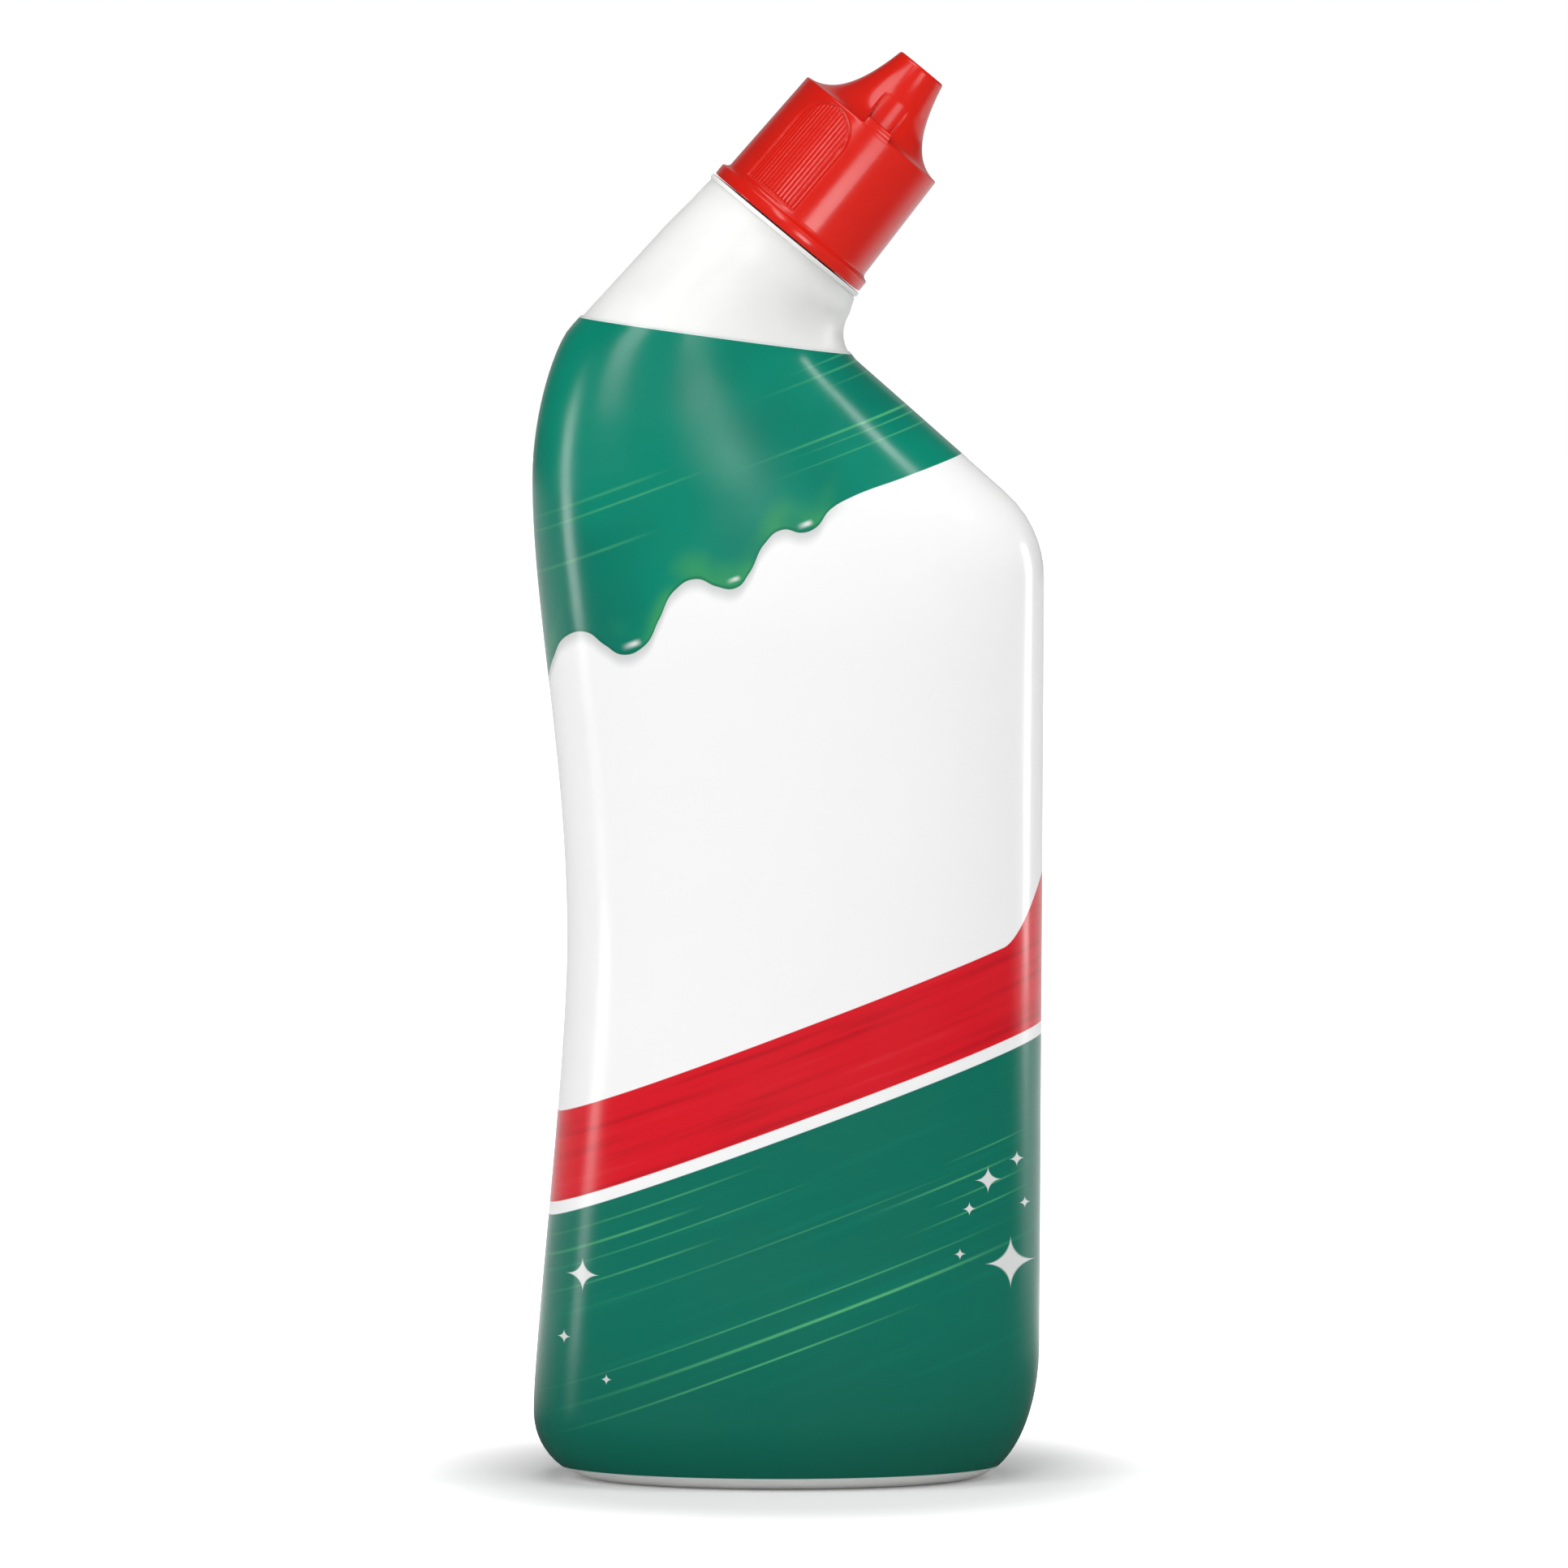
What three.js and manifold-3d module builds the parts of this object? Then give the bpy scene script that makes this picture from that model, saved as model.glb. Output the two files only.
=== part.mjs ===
// A squeeze bottle for toilet cleaner gel, of the 750 ml class. A blown white bottle with a
// leaning neck wears a shrunk-on film sleeve. A drip nozzle is pressed into the neck, and a
// squeeze-and-turn cap with a hollow nose covers the nozzle.
//
// Sizes are millimetres. Z is up, the neck leans towards +X, the front faces -Y, and the
// origin is the middle of the foot, on the floor.

import * as THREE from "three";
import { mergeVertices } from "three/addons/utils/BufferGeometryUtils.js";
import Module from "manifold-3d";

const wasm = await Module();
wasm.setup();

// Body of the bottle. The grip side is -X, and the spout side is +X, where the neck leans.
const bodyWidth = 97.5;
const bodyDepth = 54;
const bottleWall = 1.1;
const bodyFullness = 2.3; // exponent of the body's section, where 2 is an ellipse

// Foot: a standing ring round a pushed-up middle, and a heel that is rounder at the grip side.
const ringWidth = 3.6;
const pushUp = 3;
const gripHeelRun = 12.5;
const gripHeelRise = 13;
const spoutHeelRun = 13.5;
const spoutHeelRise = 26;
const depthHeelRun = 8;
const depthHeelRise = 13;
const spoutFootInset = 0.7;

// Grip side: a waist for the hand, a hip above it, then the back of the neck. Each ease is how
// far the side stays nearly upright before it turns to the next stretch.
const waistHeight = 104.5;
const waistInset = 6.6;
const waistEaseDown = 24;
const waistEaseUp = 35;
const heelEase = 14;
const hipHeight = 192.8;
const hipEase = 24.8;
const hipSweep = 13;
const napeSweep = 4.3;
const neckBackLength = 40;
const neckBackLean = 42.5;

// Spout side: an upright wall, a sloping shoulder and the throat under the neck.
const shoulderCornerHeight = 183.9;
const shoulderSlope = 41.5;
const shoulderRadius = 22;
const throatRadius = 7;
const throatWallLean = 27;
const depthTaperHeight = 160;
const depthTaperEase = 30;
const fanShare = 0.55; // how far up the shoulder's slope the sections start to swing round

// Neck: the ledge under the cap, and the screw finish that stands on it.
const neckLean = 39.5;
const ledgeX = -0.4;
const ledgeHeight = 240.1;
const ledgeRadius = 18.1;
const ledgeThickness = 1.6;
const finishRadius = 11.8;
const finishHeight = 15;
const boreRadius = 10.3;
const threadHeight = 1.1;
const threadPitch = 3.2;
const threadTurns = 1.5;
const threadStart = 5.6;
const threadRootWidth = 1.9;
const threadCrestWidth = 0.8;
const neckLugReach = 2.6;
const neckLugHeight = 3;
const lugWidth = 1.8;

// Sleeve: a film that runs from just above the foot to the throat.
const sleeveFilm = 0.2;
const sleeveGap = 0.25;
const sleeveFootHeight = 2.3;
const sleeveTopGripHeight = 224.3;
const sleeveTopSpoutHeight = 217.4;

// Nozzle: a plug in the bore, a flange on the lip and a tapering spout.
const seatGap = 0.3;
const nozzleWall = 1;
const plugLength = 9;
const flangeInset = 0.3;
const flangeThickness = 1.2;
const spoutFootRadius = 6.2;
const spoutTipRadius = 2.7;
const spoutLength = 21;
const orificeRadius = 1.5;

// Cap: heights are above the ledge.
const capGap = 1;
const capWall = 1.2;
const beadRadius = 17.8;
const beadHeight = 1.7;
const skirtFootRadius = 16.7;
const rimRadius = 15.9;
const rimHeight = 25.8;
const noseLength = 15.2;
const noseTipRadius = 5.15;
const flareReach = 4.4;
const flareLift = 0.3;
const noseWaist = 2.45;
const noseWaistHeight = 3.4;
const notchWidth = 5.7;
const notchFloorRise = 1.6;
const coreFootRadius = 8.8;
const coreTipMargin = 0.5;
const sillInset = 0.1;
const noseTurn = 3;
const innerSkirtWall = 1;
const innerSkirtFoot = 5.5;
const threadClearance = 0.35;
const sealPinLength = 1;
const sealPinClearance = 0.4;

// Squeeze pads: two ribbed arches on the skirt, turned away from the nose's front notch.
const padTurn = 29;
const padWidth = 13;
const padFootHeight = 4;
const padTopMargin = 0.6;
const padDepth = 0.5;
const ribCount = 15;
const ribWidth = 0.4;
const ribInset = 0.1;
const ribEndSink = 0.3;
const capLugReach = 1.5;
const capLugHeight = 2.6;
const lugClearance = 0.5;

// How finely round things are faceted.
const bodyFacets = 34;
const neckFacets = 28;
const capFacets = 36;
const threadSteps = 18;

const lean = THREE.MathUtils.degToRad(neckLean);
const halfWidth = bodyWidth / 2;
const shoulderBend = Math.PI / 2 - THREE.MathUtils.degToRad(shoulderSlope);
const shoulderFoot = shoulderCornerHeight - shoulderRadius * Math.tan(shoulderBend / 2);
const shoulderHead = shoulderFoot + shoulderRadius * Math.sin(shoulderBend);
const neckAxis = new THREE.Vector2(Math.sin(lean), Math.cos(lean));
const ledgeAcross = new THREE.Vector2(Math.cos(lean), -Math.sin(lean));
const ledgeCentre = new THREE.Vector2(ledgeX, ledgeHeight);
const neckFrame = new THREE.Matrix4()
  .makeTranslation(ledgeX, 0, ledgeHeight)
  .multiply(new THREE.Matrix4().makeRotationY(lean));
const padAngle = -Math.PI / 2 - THREE.MathUtils.degToRad(padTurn);
const lugAngle = padAngle + Math.PI / 2;

// A three.js geometry as a closed solid with its faces pointing out.
function solid(geometry) {
  const bare = new THREE.BufferGeometry();
  bare.setAttribute("position", geometry.getAttribute("position").clone());
  bare.setIndex(geometry.getIndex());
  const merged = mergeVertices(bare, 1e-4);
  const corners = merged.getIndex().array;
  const triangles = [];
  for (let i = 0; i < corners.length; i += 3) {
    const [a, b, c] = corners.slice(i, i + 3);
    if (a !== b && b !== c && c !== a) triangles.push(a, b, c);
  }
  const make = (order) =>
    new wasm.Manifold(
      new wasm.Mesh({
        numProp: 3,
        vertProperties: merged.getAttribute("position").array,
        triVerts: new Uint32Array(order),
      }),
    );
  const made = make(triangles);
  return made.volume() < 0 ? make(triangles.reverse()) : made;
}

// A solid as a three.js geometry.
function geometryOf(made) {
  const mesh = made.getMesh();
  const geometry = new THREE.BufferGeometry();
  const vertices = new Float32Array(mesh.vertProperties);
  geometry.setAttribute("position", new THREE.BufferAttribute(vertices, 3));
  geometry.setIndex(new THREE.BufferAttribute(new Uint32Array(mesh.triVerts), 1));
  const faceted = geometry.toNonIndexed();
  faceted.computeVertexNormals();
  return faceted;
}

// A profile of [radius, height] pairs, turned about the Z axis.
function turned(profile, facets) {
  const points = profile.map(([radius, height]) => new THREE.Vector2(radius, height));
  return solid(new THREE.LatheGeometry(points, facets).rotateX(Math.PI / 2));
}

// A ring of wall between two radii and two heights.
function tube(inner, outer, foot, top, facets) {
  const profile = [[inner, foot], [outer, foot], [outer, top], [inner, top], [inner, foot]];
  return turned(profile, facets);
}

// A skin through rings of points. Its ends are closed, or it closes on itself like a tyre.
function lofted(rings, closesOnItself = false) {
  const around = rings[0].length;
  const vertices = rings.flat();
  const triangles = [];
  const spans = closesOnItself ? rings.length : rings.length - 1;
  for (let r = 0; r < spans; r++) {
    const next = (r + 1) % rings.length;
    for (let i = 0; i < around; i++) {
      const j = (i + 1) % around;
      const [a, b] = [r * around + i, r * around + j];
      const [c, d] = [next * around + i, next * around + j];
      triangles.push(a, b, d, a, d, c);
    }
  }
  if (!closesOnItself) {
    for (const [ring, first] of [[rings[0], 0], [rings.at(-1), (rings.length - 1) * around]]) {
      const middle = new THREE.Vector3();
      ring.forEach((point) => middle.addScaledVector(point, 1 / around));
      const hub = vertices.push(middle) - 1;
      for (let i = 0; i < around; i++) {
        const [a, b] = [first + i, first + ((i + 1) % around)];
        triangles.push(...(first === 0 ? [hub, b, a] : [hub, a, b]));
      }
    }
  }
  const geometry = new THREE.BufferGeometry().setFromPoints(vertices);
  geometry.setIndex(triangles);
  return solid(geometry);
}

// The side outlines of the bottle, in the XZ plane, from the standing ring to the ledge.
function gripOutline() {
  const outline = new THREE.Path();
  const waistX = -halfWidth + waistInset;
  const backLean = THREE.MathUtils.degToRad(neckBackLean);
  const back = new THREE.Vector2(Math.sin(backLean), Math.cos(backLean));
  const ledgeEnd = ledgeCentre.clone().addScaledVector(ledgeAcross, -ledgeRadius);
  const nape = ledgeEnd.clone().addScaledVector(back, -neckBackLength);
  const napeHandle = nape.clone().addScaledVector(back, -napeSweep);
  outline.absellipse(
    -halfWidth + gripHeelRun, gripHeelRise, gripHeelRun, gripHeelRise,
    -Math.PI / 2, -Math.PI, true,
  );
  outline.bezierCurveTo(
    -halfWidth, gripHeelRise + heelEase, waistX, waistHeight - waistEaseDown, waistX, waistHeight,
  );
  outline.bezierCurveTo(
    waistX, waistHeight + waistEaseUp, -halfWidth, hipHeight - hipEase, -halfWidth, hipHeight,
  );
  outline.bezierCurveTo(
    -halfWidth, hipHeight + hipSweep, napeHandle.x, napeHandle.y, nape.x, nape.y,
  );
  outline.lineTo(ledgeEnd.x, ledgeEnd.y);
  return outline;
}

function spoutOutline() {
  const outline = new THREE.Path();
  const slope = THREE.MathUtils.degToRad(shoulderSlope);
  const wallLean = THREE.MathUtils.degToRad(throatWallLean);
  const footX = halfWidth - spoutFootInset;
  outline.absellipse(
    footX - spoutHeelRun, spoutHeelRise, spoutHeelRun, spoutHeelRise, -Math.PI / 2, 0, false,
  );
  outline.lineTo(halfWidth, shoulderFoot);
  const shoulderX = halfWidth - shoulderRadius;
  outline.absarc(shoulderX, shoulderFoot, shoulderRadius, 0, shoulderBend, false);

  // The throat is a fillet where the shoulder's line and the throat wall's line cross.
  const ledgeEnd = ledgeCentre.clone().addScaledVector(ledgeAcross, ledgeRadius);
  const up = new THREE.Vector2(-Math.cos(slope), Math.sin(slope));
  const wallUp = new THREE.Vector2(Math.sin(wallLean), Math.cos(wallLean));
  const reach = ledgeEnd.clone().sub(new THREE.Vector2(halfWidth, shoulderCornerHeight));
  const toCrossing = reach.cross(wallUp) / up.cross(wallUp);
  const turn = Math.acos(up.dot(wallUp));
  const toTangent = toCrossing - throatRadius * Math.tan(turn / 2);
  const outward = new THREE.Vector2(Math.sin(slope), Math.cos(slope));
  const centre = new THREE.Vector2(halfWidth, shoulderCornerHeight)
    .addScaledVector(up, toTangent)
    .addScaledVector(outward, throatRadius);
  const from = Math.PI + shoulderBend;
  outline.absarc(centre.x, centre.y, throatRadius, from, from - turn, true);
  outline.lineTo(ledgeEnd.x, ledgeEnd.y);
  return outline;
}

// Half the bottle's depth against height, seen from the side.
function depthOutline() {
  const outline = new THREE.Path();
  const halfDepth = bodyDepth / 2;
  outline.absellipse(
    halfDepth - depthHeelRun, depthHeelRise, depthHeelRun, depthHeelRise, -Math.PI / 2, 0, false,
  );
  outline.lineTo(halfDepth, depthTaperHeight);
  outline.bezierCurveTo(
    halfDepth, depthTaperHeight + depthTaperEase,
    ledgeRadius, ledgeHeight - depthTaperEase,
    ledgeRadius, ledgeHeight,
  );
  return outline;
}

// Where along an outline, from 0 to 1, it reaches a height.
function shareAtHeight(outline, height) {
  let [low, high] = [0, 1];
  for (let step = 0; step < 40; step++) {
    const middle = (low + high) / 2;
    if (outline.getPoint(middle).y < height) low = middle;
    else high = middle;
  }
  return (low + high) / 2;
}

const grip = gripOutline();
const spout = spoutOutline();
const depth = depthOutline();

// A section of the bottle stands on a point of each side outline.
function section(gripShare, spoutShare) {
  const near = grip.getPoint(gripShare);
  const far = spout.getPoint(spoutShare);
  const centre = near.clone().add(far).multiplyScalar(0.5);
  const height = Math.min(centre.y, ledgeHeight);
  const rounding =
    THREE.MathUtils.smoothstep(height, 0, gripHeelRise) *
    (1 - THREE.MathUtils.smoothstep(height, depthTaperHeight, ledgeHeight));
  return {
    centre,
    across: far.clone().sub(near).normalize(),
    halfAcross: far.distanceTo(near) / 2,
    halfDepth: depth.getPoint(shareAtHeight(depth, height)).x,
    fullness: 2 + (bodyFullness - 2) * rounding,
  };
}

function levelSection(height) {
  return section(shareAtHeight(grip, height), shareAtHeight(spout, height));
}

// The points of a section, grown outwards or shrunk inwards, and raised if it is asked for.
function ring({ centre, across, halfAcross, halfDepth, fullness }, grow = 0, raise = 0) {
  return Array.from({ length: bodyFacets }, (_, i) => {
    const angle = (2 * Math.PI * i) / bodyFacets;
    const bulge = (value) => Math.sign(value) * Math.abs(value) ** (2 / fullness);
    const along = (halfAcross + grow) * bulge(Math.cos(angle));
    const out = (halfDepth + grow) * bulge(Math.sin(angle));
    return new THREE.Vector3(
      centre.x + across.x * along, out, centre.y + across.y * along + raise,
    );
  });
}

// The foot, from the pushed-up middle out to the inner edge of the standing ring.
function footRings(raise, shrink) {
  const foot = levelSection(0);
  return [0.3, 0.6, 0.85, 1].map((share) => {
    const rise = pushUp * Math.cos((share * Math.PI) / 2) + raise;
    const scaled = {
      ...foot,
      halfAcross: (foot.halfAcross - ringWidth - shrink) * share,
      halfDepth: (foot.halfDepth - ringWidth - shrink) * share,
    };
    return ring(scaled, 0, rise);
  });
}

const shares = (count) => Array.from({ length: count }, (_, i) => (i + 1) / count);
const between = THREE.MathUtils.lerp;
const spread = (from, to, count) => shares(count).map((share) => between(from, to, share));

// Levels of the body's sections: close together in the heel and in the shoulder's bend.
const fanStart = between(shoulderHead, sleeveTopSpoutHeight, fanShare);
const bodyLevels = [
  0,
  0.25 * sleeveFootHeight,
  sleeveFootHeight,
  ...spread(sleeveFootHeight, gripHeelRise, 3),
  ...spread(gripHeelRise, spoutHeelRise, 2),
  ...spread(spoutHeelRise, waistHeight, 4),
  ...spread(waistHeight, shoulderFoot, 4),
  ...spread(shoulderFoot, shoulderHead, 4),
  ...spread(shoulderHead, fanStart, 2),
];

// Above the body the sections swing round, first to the sleeve's top edge, then to the ledge.
const sleeveTop = [
  shareAtHeight(grip, sleeveTopGripHeight), shareAtHeight(spout, sleeveTopSpoutHeight),
];
const swing = [shareAtHeight(grip, fanStart), shareAtHeight(spout, fanStart)];
const bodySections = bodyLevels.map(levelSection);
const napeSections = shares(2).map((share) =>
  section(between(swing[0], sleeveTop[0], share), between(swing[1], sleeveTop[1], share)),
);
const neckSections = shares(5).map((share) =>
  section(between(sleeveTop[0], 1, share), between(sleeveTop[1], 1, share)),
);

function outerSkin() {
  const wallRings = [...bodySections, ...napeSections, ...neckSections].map((s) => ring(s));
  return lofted([...footRings(0, 0), ...wallRings]);
}

// The cavity follows the outside, a wall further in, and ends under the ledge. Above the heel
// every second section is enough for it.
function cavity() {
  const heelTop = bodyLevels.indexOf(spoutHeelRise);
  const inside = [...bodySections, ...napeSections, ...neckSections.slice(0, -2)].filter(
    (_, i) => i <= heelTop || (i - heelTop) % 2 === 0,
  );
  const lifted = inside.map((s) => {
    const share = Math.min(1, s.centre.y / gripHeelRise);
    return ring(s, -bottleWall, bottleWall * (1 - share));
  });
  const ledge = neckSections.at(-1);
  const under = { ...ledge, centre: ledge.centre.clone().addScaledVector(neckAxis, -ledgeThickness) };
  return lofted([...footRings(bottleWall, bottleWall), ...lifted, ring(under, -bottleWall)]);
}

// One helical ridge of the screw thread, tapering away at both ends.
function threadRidge() {
  const steps = Math.round(threadTurns * threadSteps);
  const rings = Array.from({ length: steps + 1 }, (_, i) => {
    const angle = (2 * Math.PI * i) / threadSteps;
    const fade = Math.min(1, i / 3, (steps - i) / 3);
    const height = threadStart + (threadPitch * i) / threadSteps;
    const root = finishRadius - 0.4;
    const crest = finishRadius + threadHeight * fade;
    const corners = [
      [root, -threadRootWidth / 2], [crest, -threadCrestWidth / 2],
      [crest, threadCrestWidth / 2], [root, threadRootWidth / 2],
    ];
    return corners.map(([radius, lift]) =>
      new THREE.Vector3(radius * Math.cos(angle), radius * Math.sin(angle), height + lift),
    );
  });
  return lofted(rings);
}

// A block that stands out radially, centred on an angle.
function lug(inner, outer, foot, height, angle) {
  const block = new THREE.BoxGeometry(outer - inner, lugWidth, height);
  block.translate((inner + outer) / 2, 0, foot + height / 2).rotateZ(angle);
  return solid(block);
}

// The blown bottle: body, neck, ledge and screw finish are one piece of plastic.
function bottleSolid() {
  const edge = 0.5;
  const finish = turned([
    [0, -ledgeThickness], [finishRadius, -ledgeThickness], [finishRadius, finishHeight - edge],
    [finishRadius - edge, finishHeight], [0, finishHeight],
  ], neckFacets);
  const bore = turned([
    [0, -2 * ledgeThickness], [boreRadius, -2 * ledgeThickness],
    [boreRadius, finishHeight + 1], [0, finishHeight + 1],
  ], neckFacets);
  let neck = finish.add(threadRidge());
  for (const side of [0, Math.PI]) {
    const lugOuter = finishRadius + neckLugReach;
    neck = neck.add(lug(finishRadius - 0.5, lugOuter, -0.5, neckLugHeight + 0.5, lugAngle + side));
  }
  const place = neckFrame.elements;
  return outerSkin()
    .add(neck.transform(place))
    .subtract(cavity())
    .subtract(bore.transform(place));
}

// The film sleeve, shrunk to the body.
function sleeveSolid() {
  const dressed = [...bodySections.slice(bodyLevels.indexOf(sleeveFootHeight)), ...napeSections];
  const outside = dressed.map((s) => ring(s, sleeveGap + sleeveFilm));
  const inside = dressed.map((s) => ring(s, sleeveGap)).reverse();
  return lofted([...outside, ...inside], true);
}

// The drip nozzle. Heights are above its flange's seat.
function nozzleSolid() {
  const plugRadius = boreRadius - seatGap;
  const hollow = plugRadius - nozzleWall;
  const tip = flangeThickness + spoutLength;
  return turned([
    [hollow, -plugLength], [plugRadius - 0.4, -plugLength], [plugRadius, -plugLength + 1],
    [plugRadius, 0], [finishRadius - flangeInset, 0],
    [finishRadius - flangeInset, flangeThickness], [spoutFootRadius + 1, flangeThickness],
    [spoutFootRadius, flangeThickness + 0.8], [spoutTipRadius, tip], [orificeRadius, tip],
    [orificeRadius, tip - 1.8], [spoutFootRadius - nozzleWall, flangeThickness],
    [hollow, -flangeThickness], [hollow, -plugLength],
  ], neckFacets);
}

// The nose flares out to the rim. inset gives the same curve on the inside of the wall.
function flare(inset) {
  const curve = new THREE.CubicBezierCurve(
    new THREE.Vector2(rimRadius - inset, rimHeight - inset),
    new THREE.Vector2(rimRadius - flareReach - inset, rimHeight + flareLift - inset),
    new THREE.Vector2(noseTipRadius + noseWaist - inset, rimHeight + noseWaistHeight - inset),
    new THREE.Vector2(noseTipRadius - inset, rimHeight + noseLength - inset),
  );
  return curve.getPoints(9).map((point) => [point.x, point.y]);
}

// A radius of the tapering skirt at a height.
function skirtRadius(height) {
  const share = (height - capGap) / (rimHeight - capGap);
  return between(skirtFootRadius, rimRadius, share);
}

// A solid that fills the tapering skirt, with its surface set in by some depth.
function skirtCore(inset) {
  const [foot, top] = [capGap - 1, rimHeight + 1];
  return turned([
    [0, foot], [skirtRadius(foot) - inset, foot], [skirtRadius(top) - inset, top], [0, top],
  ], capFacets);
}

// An arch-topped block that stands radially through the skirt at a pad, grown by a margin.
function archBlock(angle, margin) {
  const half = padWidth / 2 + margin;
  const spring = rimHeight - padTopMargin - padWidth / 2;
  const arch = new THREE.Shape();
  arch.moveTo(-half, padFootHeight - margin);
  arch.lineTo(half, padFootHeight - margin);
  arch.lineTo(half, spring);
  arch.absarc(0, spring, half, 0, Math.PI, false);
  const block = new THREE.ExtrudeGeometry(arch, {
    depth: rimRadius, bevelEnabled: false, curveSegments: 10,
  });
  // The arch stands up in the XZ plane, then is pushed out along -Y and turned to its pad.
  block.rotateX(Math.PI / 2).translate(0, -rimRadius / 2, 0).rotateZ(angle + Math.PI / 2);
  return solid(block);
}

// An upright slab through the nose from front to back, as wide as the notches plus a margin.
function noseSlab(foot, top, margin) {
  const slab = new THREE.BoxGeometry(notchWidth + 2 * margin, 4 * rimRadius, top - foot);
  slab.translate(0, 0, (foot + top) / 2).rotateZ(THREE.MathUtils.degToRad(noseTurn));
  return solid(slab);
}

// The straight core of the nose, or the same cone on the inside of its wall. It comes out
// through the flare a little below the tip, which is where the notches fade away.
function noseCore(inset, foot) {
  const [floor, tip] = [rimHeight + notchFloorRise, rimHeight + noseLength];
  const slope = (coreFootRadius - noseTipRadius - coreTipMargin) / (tip - floor);
  const radius = (height) => coreFootRadius - slope * (height - floor) - inset;
  const top = tip + 1;
  return turned([[0, foot], [radius(foot), foot], [radius(top), top], [0, top]], capFacets);
}

// Two notches, front and back, bare the core down to a sill that stands on the skirt.
function notchedNose(shell) {
  const [floor, top] = [rimHeight + notchFloorRise, rimHeight + noseLength + 1];
  const [sillRadius, sillFoot] = [rimRadius - sillInset, rimHeight - capWall / 2];
  const sill = turned([
    [0, sillFoot], [sillRadius, sillFoot], [sillRadius, floor], [0, floor],
  ], capFacets);
  const notches = noseSlab(floor, top, 0).subtract(noseCore(0, rimHeight));
  return shell.add(sill.intersect(noseSlab(rimHeight - 2, top, 0))).subtract(notches);
}

// The hollow follows the flare, apart from a wall round the notches and under their sills.
function capHollow() {
  const flared = turned([
    [0, capGap - 1], [skirtRadius(capGap - 1) - capWall, capGap - 1],
    ...flare(capWall), [0, rimHeight + noseLength - capWall],
  ], capFacets);
  const roof = rimHeight - capWall;
  const walled = noseSlab(roof, rimHeight + noseLength, capWall);
  return flared.subtract(walled.subtract(noseCore(capWall, roof - 1)));
}

// The squeeze-and-turn cap is one moulding.
function capSolid() {
  const beadTop = capGap + beadHeight;
  const shell = turned([
    [0, capGap], [beadRadius, capGap], [beadRadius, beadTop],
    [skirtRadius(beadTop + 0.7), beadTop + 0.7], ...flare(0), [0, rimHeight + noseLength],
  ], capFacets);

  // Each pad is sunk into the skirt, and its ribs stand back up to just under the surface.
  let cap = notchedNose(shell);
  const sunk = skirtCore(padDepth);
  const ribBand = skirtCore(ribInset).subtract(skirtCore(padDepth + 0.2));
  for (const side of [0, Math.PI]) {
    cap = cap.subtract(archBlock(padAngle + side, 0).subtract(sunk));
    const ribEnds = archBlock(padAngle + side, ribEndSink);
    const halfPad = Math.asin(padWidth / 2 / skirtFootRadius);
    for (let i = 0; i < ribCount; i++) {
      const offset = between(-halfPad, halfPad, (i + 1) / (ribCount + 1));
      const blade = new THREE.BoxGeometry(rimRadius, ribWidth, rimHeight);
      blade.translate(rimRadius, 0, rimHeight / 2).rotateZ(padAngle + side + offset);
      cap = cap.add(solid(blade).intersect(ribEnds).intersect(ribBand));
    }
  }
  cap = cap.subtract(capHollow());

  // The inner skirt runs over the thread, and a pin hangs from the nose into the orifice.
  const innerRadius = finishRadius + threadHeight + threadClearance;
  const innerOuter = innerRadius + innerSkirtWall;
  const plateFoot = rimHeight - capWall / 2;
  cap = cap.add(tube(innerRadius, innerOuter, innerSkirtFoot, plateFoot, capFacets));
  const pinFoot = finishHeight + seatGap + flangeThickness + spoutLength - sealPinLength;
  const pinRadius = orificeRadius - sealPinClearance;
  const pinTop = rimHeight + noseLength - capWall / 2;
  cap = cap.add(turned([[0, pinFoot], [pinRadius, pinFoot], [pinRadius, pinTop], [0, pinTop]], 16));

  // Its two lugs stand beside the neck's, so that the cap turns off only when it is squeezed.
  const lugTurn = (lugWidth + lugClearance) / finishRadius;
  for (const side of [0, Math.PI]) {
    const [foot, outer] = [capGap, skirtFootRadius - capWall / 2];
    const inner = skirtFootRadius - capWall - capLugReach;
    cap = cap.add(lug(inner, outer, foot, capLugHeight, lugAngle + side + lugTurn));
  }
  return cap;
}

function piece(name, made, colour, roughness) {
  const material = new THREE.MeshStandardMaterial({ color: colour, roughness, metalness: 0 });
  const mesh = new THREE.Mesh(geometryOf(made), material);
  mesh.name = name;
  return mesh;
}

const bottlePack = new THREE.Group();
bottlePack.add(piece("bottle", bottleSolid(), 0xf0f0ee, 0.35));
bottlePack.add(piece("shrink_sleeve", sleeveSolid(), 0x00705c, 0.2));

const neckGroup = new THREE.Group();
neckGroup.position.set(ledgeX, 0, ledgeHeight);
neckGroup.rotation.y = lean;
const nozzle = piece("nozzle", nozzleSolid(), 0xf4f3ee, 0.4);
nozzle.position.z = finishHeight + seatGap;
neckGroup.add(nozzle);
neckGroup.add(piece("cap", capSolid(), 0xe0281c, 0.25));
bottlePack.add(neckGroup);

export default bottlePack;
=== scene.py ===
import math

import bmesh
import bpy
import numpy as np
from mathutils import Matrix, Vector


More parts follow.
